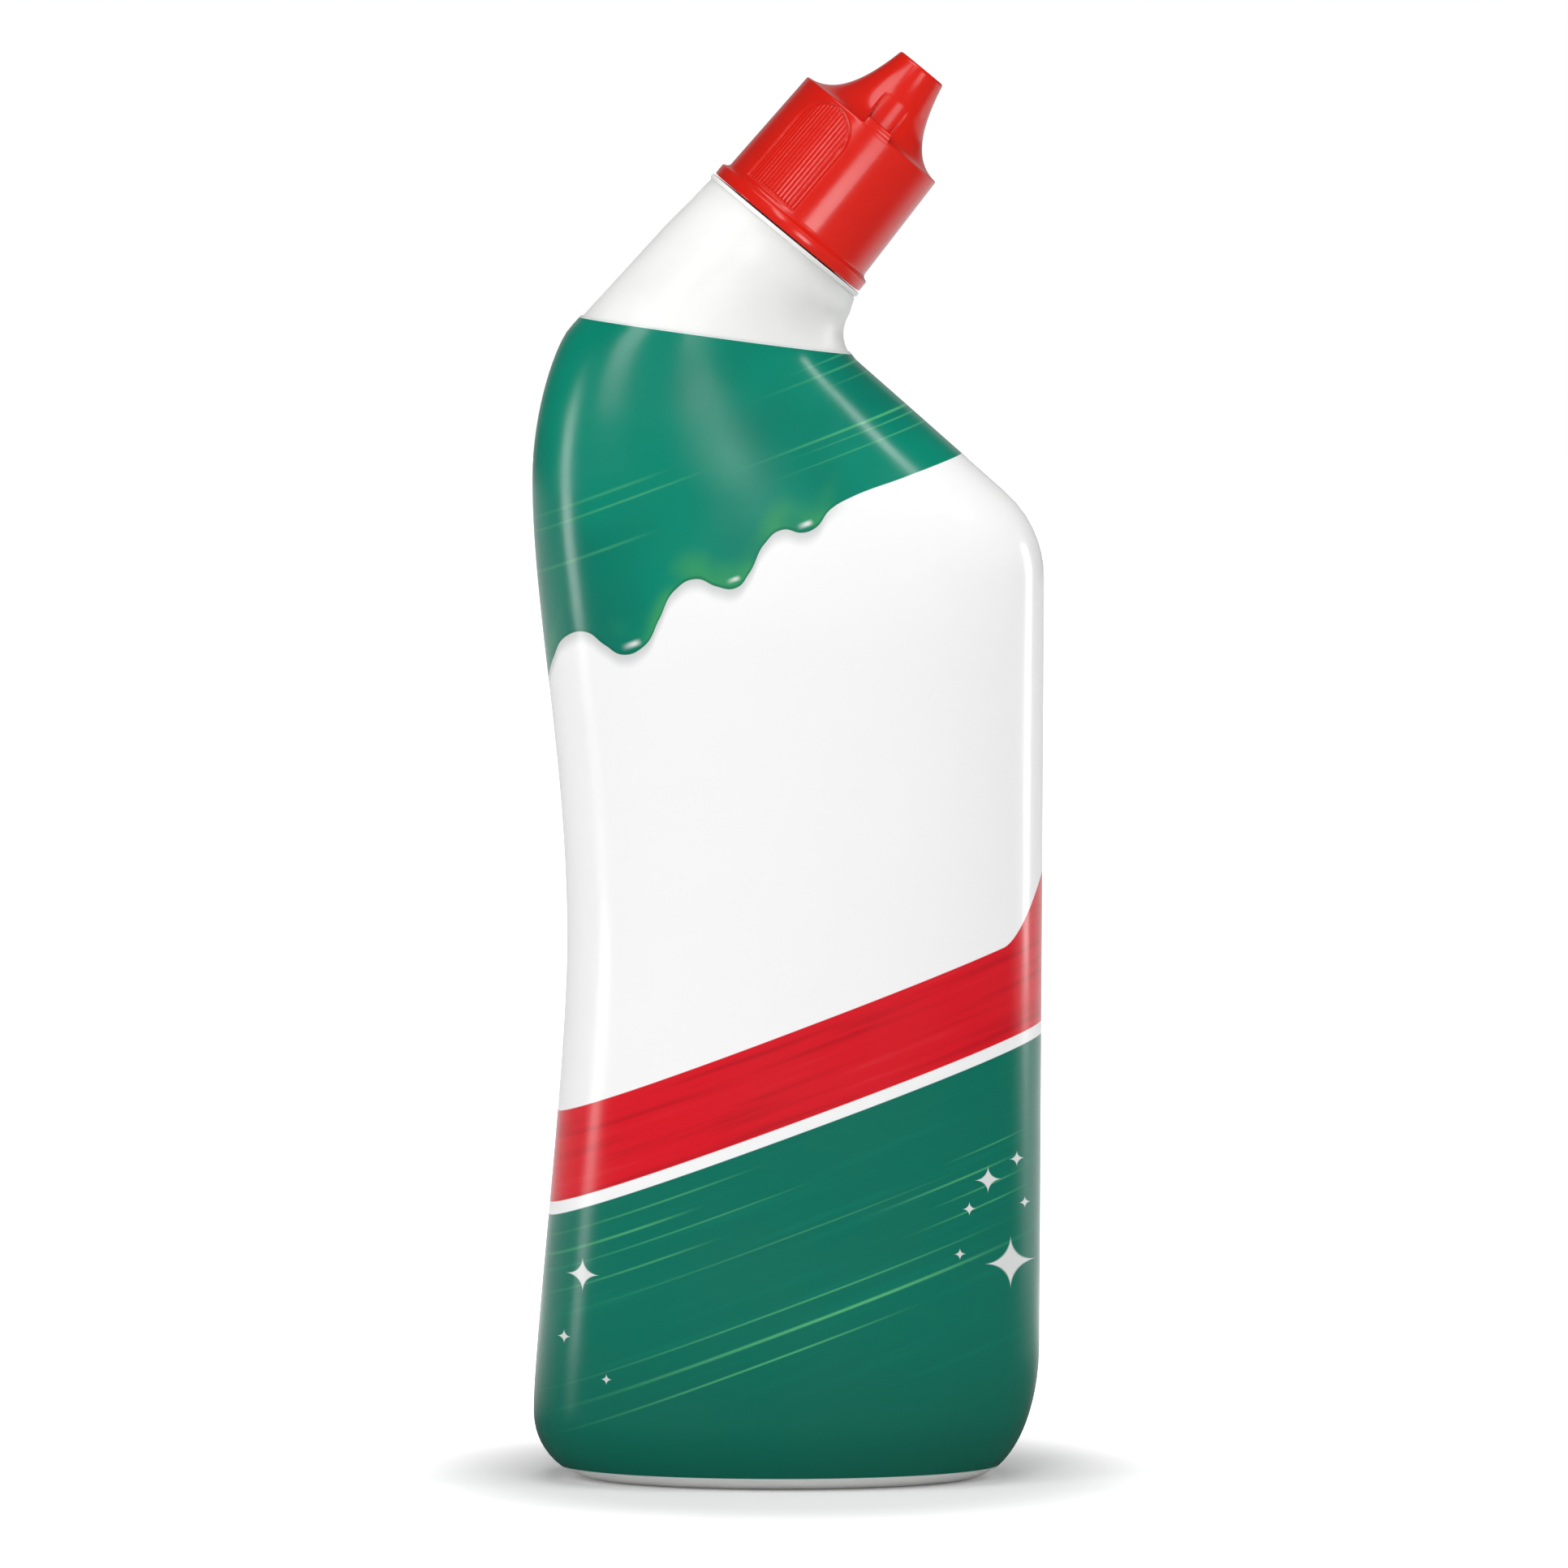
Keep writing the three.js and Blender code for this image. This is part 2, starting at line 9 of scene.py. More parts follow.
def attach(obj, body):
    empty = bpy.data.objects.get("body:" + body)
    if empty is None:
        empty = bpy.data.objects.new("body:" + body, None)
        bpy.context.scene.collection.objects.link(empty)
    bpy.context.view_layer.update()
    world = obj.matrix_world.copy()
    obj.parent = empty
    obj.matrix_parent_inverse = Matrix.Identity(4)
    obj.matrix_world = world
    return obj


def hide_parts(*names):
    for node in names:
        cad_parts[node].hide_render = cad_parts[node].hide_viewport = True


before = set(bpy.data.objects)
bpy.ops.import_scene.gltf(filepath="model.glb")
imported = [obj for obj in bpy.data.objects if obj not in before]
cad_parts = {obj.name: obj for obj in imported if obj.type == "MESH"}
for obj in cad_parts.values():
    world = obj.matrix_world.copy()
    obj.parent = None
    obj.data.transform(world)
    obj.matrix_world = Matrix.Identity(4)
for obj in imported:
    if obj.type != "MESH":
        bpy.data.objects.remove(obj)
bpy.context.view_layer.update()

# View
# The camera stands 2.1 m in front of the bottle, a little above its middle, on a long lens.
view_target = Vector((-0.00082, 0, 0.1342))
camera_data = bpy.data.cameras.new("camera")
camera_data.sensor_fit = "HORIZONTAL"
camera_data.sensor_width = 36
camera_data.lens = 250.9
camera_data.clip_end = 20
camera = bpy.data.objects.new("camera", camera_data)
camera.location = (-0.00082, -2.10, 0.266)
camera.rotation_euler = (view_target - camera.location).to_track_quat("-Z", "Y").to_euler()
bpy.context.scene.collection.objects.link(camera)
bpy.context.scene.camera = camera
bpy.context.scene.view_settings.view_transform = "Standard"

# Bottle
# One blow-moulded piece of white HDPE: an oval body that bends into a round leaning neck,
# with the ledge, screw thread and two lock lugs under the cap, and a pushed-up foot.
mm = 0.001

body_width = 97.5
body_depth = 54
bottle_wall = 1.1
body_fullness = 2.3
ring_width = 3.6
push_up = 3
grip_heel = (12.5, 13)
spout_heel = (13.5, 26)
depth_heel = (8, 13)
spout_foot_inset = 0.7

waist_height = 104.5
waist_inset = 6.6
waist_ease_down = 24
waist_ease_up = 35
heel_ease = 14
hip_height = 192.8
hip_ease = 24.8
hip_sweep = 13
nape_sweep = 4.3
neck_back_length = 40
neck_back_lean = math.radians(42.5)

shoulder_corner_height = 183.9
shoulder_slope = math.radians(41.5)
shoulder_radius = 22
throat_radius = 7
throat_wall_lean = math.radians(27)
depth_taper_height = 160
depth_taper_ease = 30
fan_share = 0.55

neck_lean = math.radians(39.5)
ledge_centre = np.array([-0.4, 240.1])
ledge_radius = 18.1
ledge_thickness = 1.6
finish_radius = 11.8
finish_height = 15
bore_radius = 10.3
thread_height = 1.1
thread_pitch = 3.2
thread_turns = 1.5
thread_start = 5.6
thread_root_width = 1.9
thread_crest_width = 0.8
thread_lead_in = 6
neck_lug_reach = 2.6
neck_lug_height = 3
neck_lug_foot = 0.4
lug_width = 1.8
pad_turn = 29
lug_angle = -pad_turn
lip_thickness = 0.9
lip_reach = 0.4
lip_start = 14
lip_end = 20
parting_ridge = 0.1
ring_points = 128

sleeve_foot_height = 2.3
sleeve_top_grip_height = 224.3
sleeve_top_spout_height = 217.4

half_width = body_width / 2
shoulder_bend = math.pi / 2 - shoulder_slope
shoulder_foot = shoulder_corner_height - shoulder_radius * math.tan(shoulder_bend / 2)
shoulder_head = shoulder_foot + shoulder_radius * math.sin(shoulder_bend)
neck_axis = np.array([math.sin(neck_lean), math.cos(neck_lean)])
ledge_across = np.array([math.cos(neck_lean), -math.sin(neck_lean)])
neck_place = Matrix((
    (ledge_across[0], 0, neck_axis[0], ledge_centre[0] * mm),
    (0, 1, 0, 0),
    (ledge_across[1], 0, neck_axis[1], ledge_centre[1] * mm),
    (0, 0, 0, 1),
))


def swept_arc(centre, radii, start, end):
    turn = np.linspace(start, end, 80)
    return np.array(centre) + np.stack([radii[0] * np.cos(turn), radii[1] * np.sin(turn)], 1)


def bezier(start, start_handle, end_handle, end):
    share = np.linspace(0, 1, 160)[:, None]
    left = 1 - share
    start, start_handle, end_handle, end = map(
        np.asarray, (start, start_handle, end_handle, end)
    )
    return (
        left ** 3 * start + 3 * left ** 2 * share * start_handle
        + 3 * left * share ** 2 * end_handle + share ** 3 * end
    )


def cross_2d(a, b):
    return a[0] * b[1] - a[1] * b[0]


def grip_outline():
    waist_x = -half_width + waist_inset
    back = np.array([math.sin(neck_back_lean), math.cos(neck_back_lean)])
    ledge_end = ledge_centre - ledge_radius * ledge_across
    nape = ledge_end - neck_back_length * back
    heel_run, heel_rise = grip_heel
    return np.concatenate([
        swept_arc((-half_width + heel_run, heel_rise), grip_heel, -math.pi / 2, -math.pi),
        bezier(
            (-half_width, heel_rise), (-half_width, heel_rise + heel_ease),
            (waist_x, waist_height - waist_ease_down), (waist_x, waist_height),
        ),
        bezier(
            (waist_x, waist_height), (waist_x, waist_height + waist_ease_up),
            (-half_width, hip_height - hip_ease), (-half_width, hip_height),
        ),
        bezier(
            (-half_width, hip_height), (-half_width, hip_height + hip_sweep),
            nape - nape_sweep * back, nape,
        ),
        [ledge_end],
    ])


def spout_outline():
    foot_x = half_width - spout_foot_inset
    heel_run, heel_rise = spout_heel
    up = np.array([-math.cos(shoulder_slope), math.sin(shoulder_slope)])
    outward = np.array([math.sin(shoulder_slope), math.cos(shoulder_slope)])
    wall_up = np.array([math.sin(throat_wall_lean), math.cos(throat_wall_lean)])
    corner = np.array([half_width, shoulder_corner_height])
    ledge_end = ledge_centre + ledge_radius * ledge_across
    to_crossing = cross_2d(ledge_end - corner, wall_up) / cross_2d(up, wall_up)
    turn = math.acos(up @ wall_up)
    to_tangent = to_crossing - throat_radius * math.tan(turn / 2)
    throat_centre = corner + to_tangent * up + throat_radius * outward
    throat_start = math.pi + shoulder_bend
    return np.concatenate([
        swept_arc((foot_x - heel_run, heel_rise), spout_heel, -math.pi / 2, 0),
        swept_arc(
            (half_width - shoulder_radius, shoulder_foot), (shoulder_radius, shoulder_radius),
            0, shoulder_bend,
        ),
        swept_arc(
            throat_centre, (throat_radius, throat_radius), throat_start, throat_start - turn,
        ),
        [ledge_end],
    ])


def depth_outline():
    half_depth = body_depth / 2
    heel_run, heel_rise = depth_heel
    return np.concatenate([
        swept_arc((half_depth - heel_run, heel_rise), depth_heel, -math.pi / 2, 0),
        bezier(
            (half_depth, depth_taper_height), (half_depth, depth_taper_height + depth_taper_ease),
            (ledge_radius, ledge_centre[1] - depth_taper_ease), (ledge_radius, ledge_centre[1]),
        ),
    ])


class Outline:
    """A side line of the bottle, read by its share of length or by height."""

    def __init__(self, points):
        self.points = points
        steps = np.hypot(*np.diff(points, axis=0).T)
        self.shares = np.concatenate([[0], np.cumsum(steps)]) / steps.sum()

    def at(self, share):
        return np.array([np.interp(share, self.shares, self.points[:, i]) for i in (0, 1)])

    def share_at(self, height):
        return np.interp(height, self.points[:, 1], self.shares)


grip = Outline(grip_outline())
spout = Outline(spout_outline())
depth = Outline(depth_outline())


def smooth_step(value, low, high):
    share = np.clip((value - low) / (high - low), 0, 1)
    return share * share * (3 - 2 * share)


# The points round a section bunch up at the mould's parting plane, where its fine line stands.
parting_angles = (0.006, 0.014)
plain_angles = np.radians(np.arange(0, 360, 360 / ring_points))
around = np.sort(np.concatenate([
    plain_angles,
    *[[side + a for a in parting_angles] for side in (0, math.pi)],
    *[[side - a for a in parting_angles] for side in (math.pi, 2 * math.pi)],
]))


def section(grip_share, spout_share):
    """An oval section of the body, from a point on the grip's side line to one on the spout's."""
    near = grip.at(grip_share)
    far = spout.at(spout_share)
    centre = (near + far) / 2
    height = min(centre[1], ledge_centre[1])
    rounding = smooth_step(height, 0, grip_heel[1]) * (
        1 - smooth_step(height, depth_taper_height, ledge_centre[1])
    )
    half_across = np.hypot(*(far - near)) / 2
    return {
        "centre": centre,
        "across": (far - near) / (2 * half_across),
        "half_across": half_across,
        "half_depth": depth.at(depth.share_at(height))[0],
        "fullness": 2 + (body_fullness - 2) * rounding,
    }


def level_section(height):
    return section(grip.share_at(height), spout.share_at(height))


def section_ring(part, grow=0, rise=0):
    """A section's ring of points, grown outward and raised by some mm."""
    power = 2 / part["fullness"]
    cos, sin = np.cos(around), np.sin(around)
    along = (part["half_across"] + grow) * np.sign(cos) * np.abs(cos) ** power
    out = (part["half_depth"] + grow) * np.sign(sin) * np.abs(sin) ** power
    return np.stack([
        part["centre"][0] + part["across"][0] * along,
        out,
        part["centre"][1] + part["across"][1] * along + rise,
    ], 1)


def neck_ring(radius, height):
    """A ring round the neck's axis, at a height above the ledge."""
    middle = ledge_centre + neck_axis * height
    radius = np.broadcast_to(radius, around.shape)
    return np.stack([
        middle[0] + ledge_across[0] * radius * np.cos(around),
        radius * np.sin(around),
        middle[1] + ledge_across[1] * radius * np.cos(around),
    ], 1)


def lofted(rings, closed=False):
    """Rings of points in mm, each joined to the next.

    They are bridged as a plain stack of circles, so that each point meets its own neighbour,
    and are then moved into place.
    """
    shell = bmesh.new()
    loops = []
    moves = []
    for level, points in enumerate(rings):
        first_edge = len(shell.edges)
        circle = bmesh.ops.create_circle(
            shell, segments=len(points), radius=1, matrix=Matrix.Translation((0, 0, level)),
        )
        shell.edges.ensure_lookup_table()
        loops.append(shell.edges[first_edge:])
        moves += zip(circle["verts"], points)
    pairs = list(zip(loops, loops[1:]))
    if closed:
        pairs.append((loops[-1], loops[0]))
    for lower, upper in pairs:
        bmesh.ops.bridge_loops(shell, edges=lower + upper)
    for vert, point in moves:
        vert.co = Vector(point) * mm
    return shell, loops


def made_piece(name, shell, crease=34):
    bmesh.ops.recalc_face_normals(shell, faces=shell.faces)
    mesh = bpy.data.meshes.new(name)
    shell.to_mesh(mesh)
    shell.free()
    mesh.shade_smooth()
    mesh.set_sharp_from_angle(angle=math.radians(crease))
    piece = bpy.data.objects.new(name, mesh)
    bpy.context.scene.collection.objects.link(piece)
    return piece


fan_start = shoulder_head + (sleeve_top_spout_height - shoulder_head) * fan_share
sleeve_top = (grip.share_at(sleeve_top_grip_height), spout.share_at(sleeve_top_spout_height))
swing = (grip.share_at(fan_start), spout.share_at(fan_start))
body_levels = np.concatenate([
    [0, 0.15, 0.45, 0.9, 1.5, sleeve_foot_height],
    np.linspace(sleeve_foot_height, grip_heel[1], 10)[1:],
    np.linspace(grip_heel[1], spout_heel[1], 7)[1:],
    np.linspace(spout_heel[1], shoulder_foot, 40)[1:],
    np.linspace(shoulder_foot, fan_start, 14)[1:],
])
body_sections = [level_section(height) for height in body_levels]
nape_sections = [
    section(*[swing[i] + (sleeve_top[i] - swing[i]) * share for i in (0, 1)])
    for share in np.linspace(0, 1, 11)[1:]
]
neck_sections = [
    section(*[sleeve_top[i] + (1 - sleeve_top[i]) * share for i in (0, 1)])
    for share in np.linspace(0, 1, 25)[1:]
]
foot_section = level_section(0)


def foot_rings(rise, shrink):
    """The pushed-up middle of the foot, out to the inner edge of the standing ring."""
    rings = []
    for share in (0.02, 0.08, 0.16, 0.27, 0.38, 0.5, 0.62, 0.73, 0.83, 0.91, 0.97, 1):
        lift = push_up * math.cos(share * math.pi / 2) + rise
        narrowed = dict(
            foot_section,
            half_across=(foot_section["half_across"] - ring_width - shrink) * share,
            half_depth=(foot_section["half_depth"] - ring_width - shrink) * share,
        )
        rings.append(section_ring(narrowed, 0, lift))
    return rings


on_parting = (np.abs(np.sin(around)) < 1e-6).astype(float)[:, None]


def with_parting_line(ring):
    """The ring with the mould's fine parting line standing out on its two ends."""
    outward = ring - ring.mean(0)
    outward /= np.linalg.norm(outward, axis=1)[:, None]
    return ring + on_parting * outward * parting_ridge


def thread_radius(height):
    """The finish's radius round a height, with the screw thread's ridge on it."""
    radius = np.full(around.shape, float(finish_radius))
    for lap in range(2):
        turned = around + 2 * math.pi * lap
        wound = turned / (2 * math.pi)
        middle = thread_start + thread_pitch * wound
        off = np.abs(height - middle)
        side = (thread_root_width - thread_crest_width) / 2
        ridge = np.clip((thread_root_width / 2 - off) / side, 0, 1)
        fade = np.clip(np.minimum(wound, thread_turns - wound) * thread_lead_in, 0, 1)
        lift = thread_height * smooth_step(ridge, 0, 1) * np.sqrt(fade)
        radius = np.maximum(radius, finish_radius + lift)
    return radius


# Outside, from the foot up to the ledge. The last sections draw in a little under its lip.
rings = foot_rings(0, 0)
rings += [with_parting_line(section_ring(part)) for part in body_sections + nape_sections]
rings += [
    with_parting_line(section_ring(part, -lip_reach * float(smooth_step(i, lip_start, lip_end))))
    for i, part in enumerate(neck_sections[:-3])
]

# The ledge's lip, the finish with its thread, and the bore.
rings += [
    neck_ring(radius, height) for radius, height in [
        (ledge_radius - lip_reach, -lip_thickness - 0.25),
        (ledge_radius - lip_reach + 0.1, -lip_thickness - 0.05),
        (ledge_radius - 0.1, -lip_thickness + 0.02), (ledge_radius, -lip_thickness + 0.15),
        (ledge_radius, -0.25), (ledge_radius - 0.07, -0.07), (ledge_radius - 0.25, 0),
        (finish_radius + 3, 0), (finish_radius + 0.4, 0), (finish_radius + 0.1, 0.1),
        (finish_radius, neck_lug_foot), (finish_radius, 1.2), (finish_radius, 2.1),
        (finish_radius, neck_lug_height), (finish_radius, 4),
    ]
]
rings += [
    neck_ring(thread_radius(height), height)
    for height in np.arange(4.4, finish_height - 1.2, 0.22)
]
rings += [
    neck_ring(radius, height) for radius, height in [
        (finish_radius, finish_height - 0.6), (finish_radius - 0.15, finish_height - 0.2),
        (finish_radius - 0.5, finish_height), (bore_radius + 0.4, finish_height),
        (bore_radius + 0.1, finish_height - 0.1), (bore_radius, finish_height - 0.4),
        (bore_radius, 6), (bore_radius, -ledge_thickness + 0.4),
        (bore_radius + 0.4, -ledge_thickness),
        (ledge_radius - bottle_wall - 1, -ledge_thickness),
    ]
]

# Down the inside every other section is enough, until the heel.
above_heel = 60
inside = (body_sections + nape_sections + neck_sections[:-3])[::-1]
inside_sections = [part for i, part in enumerate(inside) if i % 2 == 0 or i > above_heel]
rings += [
    section_ring(part, -bottle_wall, bottle_wall * (1 - min(1, part["centre"][1] / grip_heel[1])))
    for part in inside_sections
]
rings += foot_rings(bottle_wall, bottle_wall)[::-1]

bottle_shell, bottle_loops = lofted(rings)
for end in (bottle_loops[0], bottle_loops[-1]):
    bmesh.ops.contextual_create(bottle_shell, geom=end)


def raise_lug(shell, base, angle, radius, heights, reach):
    """Extrudes a lock lug from the faces of a round wall, at an angle and between two heights."""
    direction = Vector((math.cos(angle), math.sin(angle), 0))
    to_base = base.inverted()
    lug_faces = []
    for face in shell.faces:
        spot = to_base @ face.calc_center_median() / mm
        flat = Vector((spot.x, spot.y, 0))
        on_wall = abs(flat.length - radius) < 0.2
        beside = abs(flat.cross(direction).z) < lug_width / 2 and flat.dot(direction) > 0
        if on_wall and beside and heights[0] < spot.z < heights[1]:
            lug_faces.append(face)
    raised = bmesh.ops.extrude_face_region(shell, geom=lug_faces)["geom"]
    bmesh.ops.delete(shell, geom=lug_faces, context="FACES")
    lug_verts = [item for item in raised if isinstance(item, bmesh.types.BMVert)]
    bmesh.ops.translate(shell, verts=lug_verts, vec=base.to_3x3() @ direction * reach * mm)


# The two lock lugs stand out of the finish, just above the ledge.
for side in (0, 180):
    raise_lug(
        bottle_shell, neck_place, math.radians(lug_angle + side), finish_radius,
        (neck_lug_foot, neck_lug_height), neck_lug_reach,
    )


def screen_colour(red, green, blue):
    """A colour as it looks on a screen, 0 to 255, in the shader's own values."""
    parts = [part / 255 for part in (red, green, blue)]
    return (*[p / 12.92 if p <= 0.04 else ((p + 0.055) / 1.055) ** 2.4 for p in parts], 1)


def add_node(tree, kind, values, **settings):
    node = tree.nodes.new(kind)
    for name, value in settings.items():
        setattr(node, name, value)
    for socket, value in values.items():
        if isinstance(value, bpy.types.NodeSocket):
            tree.links.new(value, node.inputs[socket])
        else:
            node.inputs[socket].default_value = value
    return node


def maths(tree, operation, *values):
    node = add_node(tree, "ShaderNodeMath", dict(enumerate(values)), operation=operation)
    return node.outputs[0]


def rising(tree, value, low, high):
    """A mask that goes smoothly from 0 at low to 1 at high."""
    node = add_node(
        tree, "ShaderNodeMapRange", {"Value": value, "From Min": low, "From Max": high},
        interpolation_type="SMOOTHSTEP",
    )
    return node.outputs["Result"]


def mixed(tree, share, first, second):
    """The first colour where share is 0, and the second where it is 1."""
    node = add_node(tree, "ShaderNodeMix", {0: share, 6: first, 7: second}, data_type="RGBA")
    return node.outputs[2]


def noise(tree, place, size, detail=2):
    """Cloudy noise from 0 to 1, whose clouds are about size mm across."""
    node = add_node(
        tree, "ShaderNodeTexNoise", {"Vector": place, "Scale": 1000 / size, "Detail": detail},
    )
    return node.outputs["Fac"]


def plastic(piece, name, roughness, **finish):
    """Puts a material on a piece: gives its node tree, its shader and the piece's coordinates."""
    material = bpy.data.materials.new(name)
    material.use_nodes = True
    tree = material.node_tree
    shader = tree.nodes["Principled BSDF"]
    shader.inputs["Roughness"].default_value = roughness
    for socket, value in finish.items():
        shader.inputs[socket.replace("_", " ")].default_value = value
    piece.data.materials.append(material)
    return tree, shader, add_node(tree, "ShaderNodeTexCoord", {}).outputs["Object"]


def node_group(name, inputs, outputs):
    """An empty node group, what comes in through its sockets and where its results go out."""
    group = bpy.data.node_groups.new(name, "ShaderNodeTree")
    for socket, kind in inputs.items():
        group.interface.new_socket(socket, in_out="INPUT", socket_type="NodeSocket" + kind)
    for socket in outputs:
        group.interface.new_socket(socket, in_out="OUTPUT", socket_type="NodeSocketFloat")
    came_in = group.nodes.new("NodeGroupInput").outputs
    return group, came_in, group.nodes.new("NodeGroupOutput").inputs


# Moulded plastic is never quite even: faint clouds in its colour and gloss, and a fine grain.
skin, skin_in, skin_out = node_group(
    "moulded skin", {"Place": "Vector", "Wave size": "Float", "Grain size": "Float"},
    ("Clouds", "Waves", "Grain"),
)
for socket, size, detail in (
    ("Clouds", "Wave size", 3), ("Waves", "Wave size", 1), ("Grain", "Grain size", 2),
):
    cloud = add_node(skin, "ShaderNodeTexNoise", {
        "Vector": skin_in["Place"], "Scale": maths(skin, "DIVIDE", 1000, skin_in[size]),
        "Detail": detail,
    })
    skin.links.new(cloud.outputs["Fac"], skin_out[socket])


def skin_finish(tree, shader, place, colours, roughness, wave, grain):
    """Feeds a shader the moulded skin, and gives its height. wave and grain are (size, height)."""
    group = add_node(
        tree, "ShaderNodeGroup", {"Place": place, "Wave size": wave[0], "Grain size": grain[0]},
        node_tree=skin,
    )
    clouds = rising(tree, group.outputs["Clouds"], 0.3, 0.7)
    if colours:
        tree.links.new(mixed(tree, clouds, *colours), shader.inputs["Base Color"])
    rough = add_node(
        tree, "ShaderNodeMapRange",
        {"Value": clouds, "To Min": roughness[0], "To Max": roughness[1]},
    )
    tree.links.new(rough.outputs["Result"], shader.inputs["Roughness"])
    waves = maths(tree, "MULTIPLY", group.outputs["Waves"], wave[1])
    return maths(tree, "MULTIPLY_ADD", group.outputs["Grain"], grain[1], waves)


def bumped(tree, shader, height):
    bump = add_node(tree, "ShaderNodeBump", {"Height": height, "Distance": mm})
    tree.links.new(bump.outputs["Normal"], shader.inputs["Normal"])


bottle_piece = made_piece("bottle_blown", bottle_shell)
blown_white = screen_colour(243, 243, 241)
blown_shade = screen_colour(238, 238, 236)
tree, shader, place = plastic(bottle_piece, "white blown polyethylene", 0.36)
height = skin_finish(
    tree, shader, place, (blown_shade, blown_white), (0.32, 0.42), (16, 0.12), (0.5, 0.006),
)
bumped(tree, shader, height)
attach(bottle_piece, "bottle")
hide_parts("bottle")

# Sleeve
# A printed film sleeve, slipped over the body and shrunk tight to it by heat.
sleeve_gap = 0.25
sleeve_film = 0.2
dressed = body_sections[list(body_levels).index(sleeve_foot_height):] + nape_sections
sleeve_rings = [section_ring(part, sleeve_gap + sleeve_film) for part in dressed]
sleeve_rings += [section_ring(part, sleeve_gap) for part in dressed[::-1]]
sleeve_shell = lofted(sleeve_rings, closed=True)[0]
sleeve_piece = made_piece("sleeve_printed", sleeve_shell)
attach(sleeve_piece, "bottle")
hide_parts("shrink_sleeve")

# The print lies flat on the front and the back, so it is worked out from x and z alone.
print_white = screen_colour(250, 250, 250)
upper_green = screen_colour(0, 134, 110)
upper_green_deep = screen_colour(2, 118, 98)
glow_green = screen_colour(70, 168, 92)
rim_green = screen_colour(0, 104, 78)
drip_shadow = screen_colour(196, 200, 200)
band_red = screen_colour(220, 16, 34)
band_red_deep = screen_colour(196, 14, 30)
band_red_light = screen_colour(230, 52, 62)
lower_green = screen_colour(0, 114, 94)
lower_green_deep = screen_colour(0, 100, 82)
streak_green = screen_colour(92, 192, 128)
sparkle_grey = screen_colour(226, 229, 227)

tree, shader, place = plastic(sleeve_piece, "printed shrink film", 0.2)
film_place = add_node(
    tree, "ShaderNodeVectorMath", {0: place, 1: (1000, 1000, 1000)}, operation="MULTIPLY",
)
film = add_node(tree, "ShaderNodeSeparateXYZ", {0: film_place.outputs[0]})
x, y, z = film.outputs
band_turn = math.radians(20.6)
band_low_slope = 0.3695
band_low_height = 70.8
band_high_slope = 0.3797
band_high_height = 88.3
sweep_start = 41.2
sweep_reach = 7.2
sweep_rise = 9.8
sweep_power = 1.8
along = maths(
    tree, "ADD", maths(tree, "MULTIPLY", x, math.cos(band_turn)),
    maths(tree, "MULTIPLY", z, math.sin(band_turn)),
)
off = maths(
    tree, "SUBTRACT", maths(tree, "MULTIPLY", z, math.cos(band_turn)),
    maths(tree, "MULTIPLY", x, math.sin(band_turn)),
)
brushed_place = add_node(
    tree, "ShaderNodeCombineXYZ",
    {0: maths(tree, "MULTIPLY", along, 0.00004), 1: maths(tree, "MULTIPLY", off, 0.001)},
).outputs[0]
brushed = noise(tree, brushed_place, 2.2, 3)
print_clouds = noise(tree, place, 34, 2)

# The green's lower edge runs in drips of the maker's own layout, then straight to the shoulder.
edge_low = 140
edge_high = 205
drip_edge = (
    (-48.7, 150), (-46.8, 153), (-45, 159), (-42.4, 163.4), (-39, 164.4), (-35, 162),
    (-31.4, 160.2), (-27.6, 161.8), (-24.6, 167), (-21.6, 172.6), (-17.6, 174.8),
    (-13.6, 173.4), (-10.4, 173), (-7.4, 176), (-4.6, 181.4), (-1, 184.2), (2.6, 183.6),
    (5, 184.4), (8, 188), (12, 190.3), (22, 193.9), (33.5, 198), (48.7, 203.6),
)
edge_curve = add_node(
    tree, "ShaderNodeFloatCurve",
    {"Value": add_node(
        tree, "ShaderNodeMapRange", {"Value": x, "From Min": -half_width, "From Max": half_width},
    ).outputs["Result"]},
)
bends = edge_curve.mapping.curves[0]
for i, (at_x, at_z) in enumerate(drip_edge):
    spot = ((at_x + half_width) / body_width, (at_z - edge_low) / (edge_high - edge_low))
    if i == 0:
        bends.points[0].location = spot
    elif i == len(drip_edge) - 1:
        bends.points[-1].location = spot
    else:
        bends.points.new(*spot)
edge_curve.mapping.update()
edge_z = maths(tree, "MULTIPLY_ADD", edge_curve.outputs[0], edge_high - edge_low, edge_low)
over_edge = maths(tree, "SUBTRACT", z, edge_z)
dripping = rising(tree, x, 13, 5)

lower_edge = maths(tree, "MULTIPLY_ADD", x, band_low_slope, band_low_height)
swept = maths(tree, "DIVIDE", maths(tree, "SUBTRACT", x, sweep_start), sweep_reach)
sweep = maths(tree, "POWER", maths(tree, "MAXIMUM", swept, 0), sweep_power)
upper_edge = maths(
    tree, "MULTIPLY_ADD", sweep, sweep_rise,
    maths(tree, "MULTIPLY_ADD", x, band_high_slope, band_high_height),
)
over_band = maths(tree, "SUBTRACT", z, lower_edge)

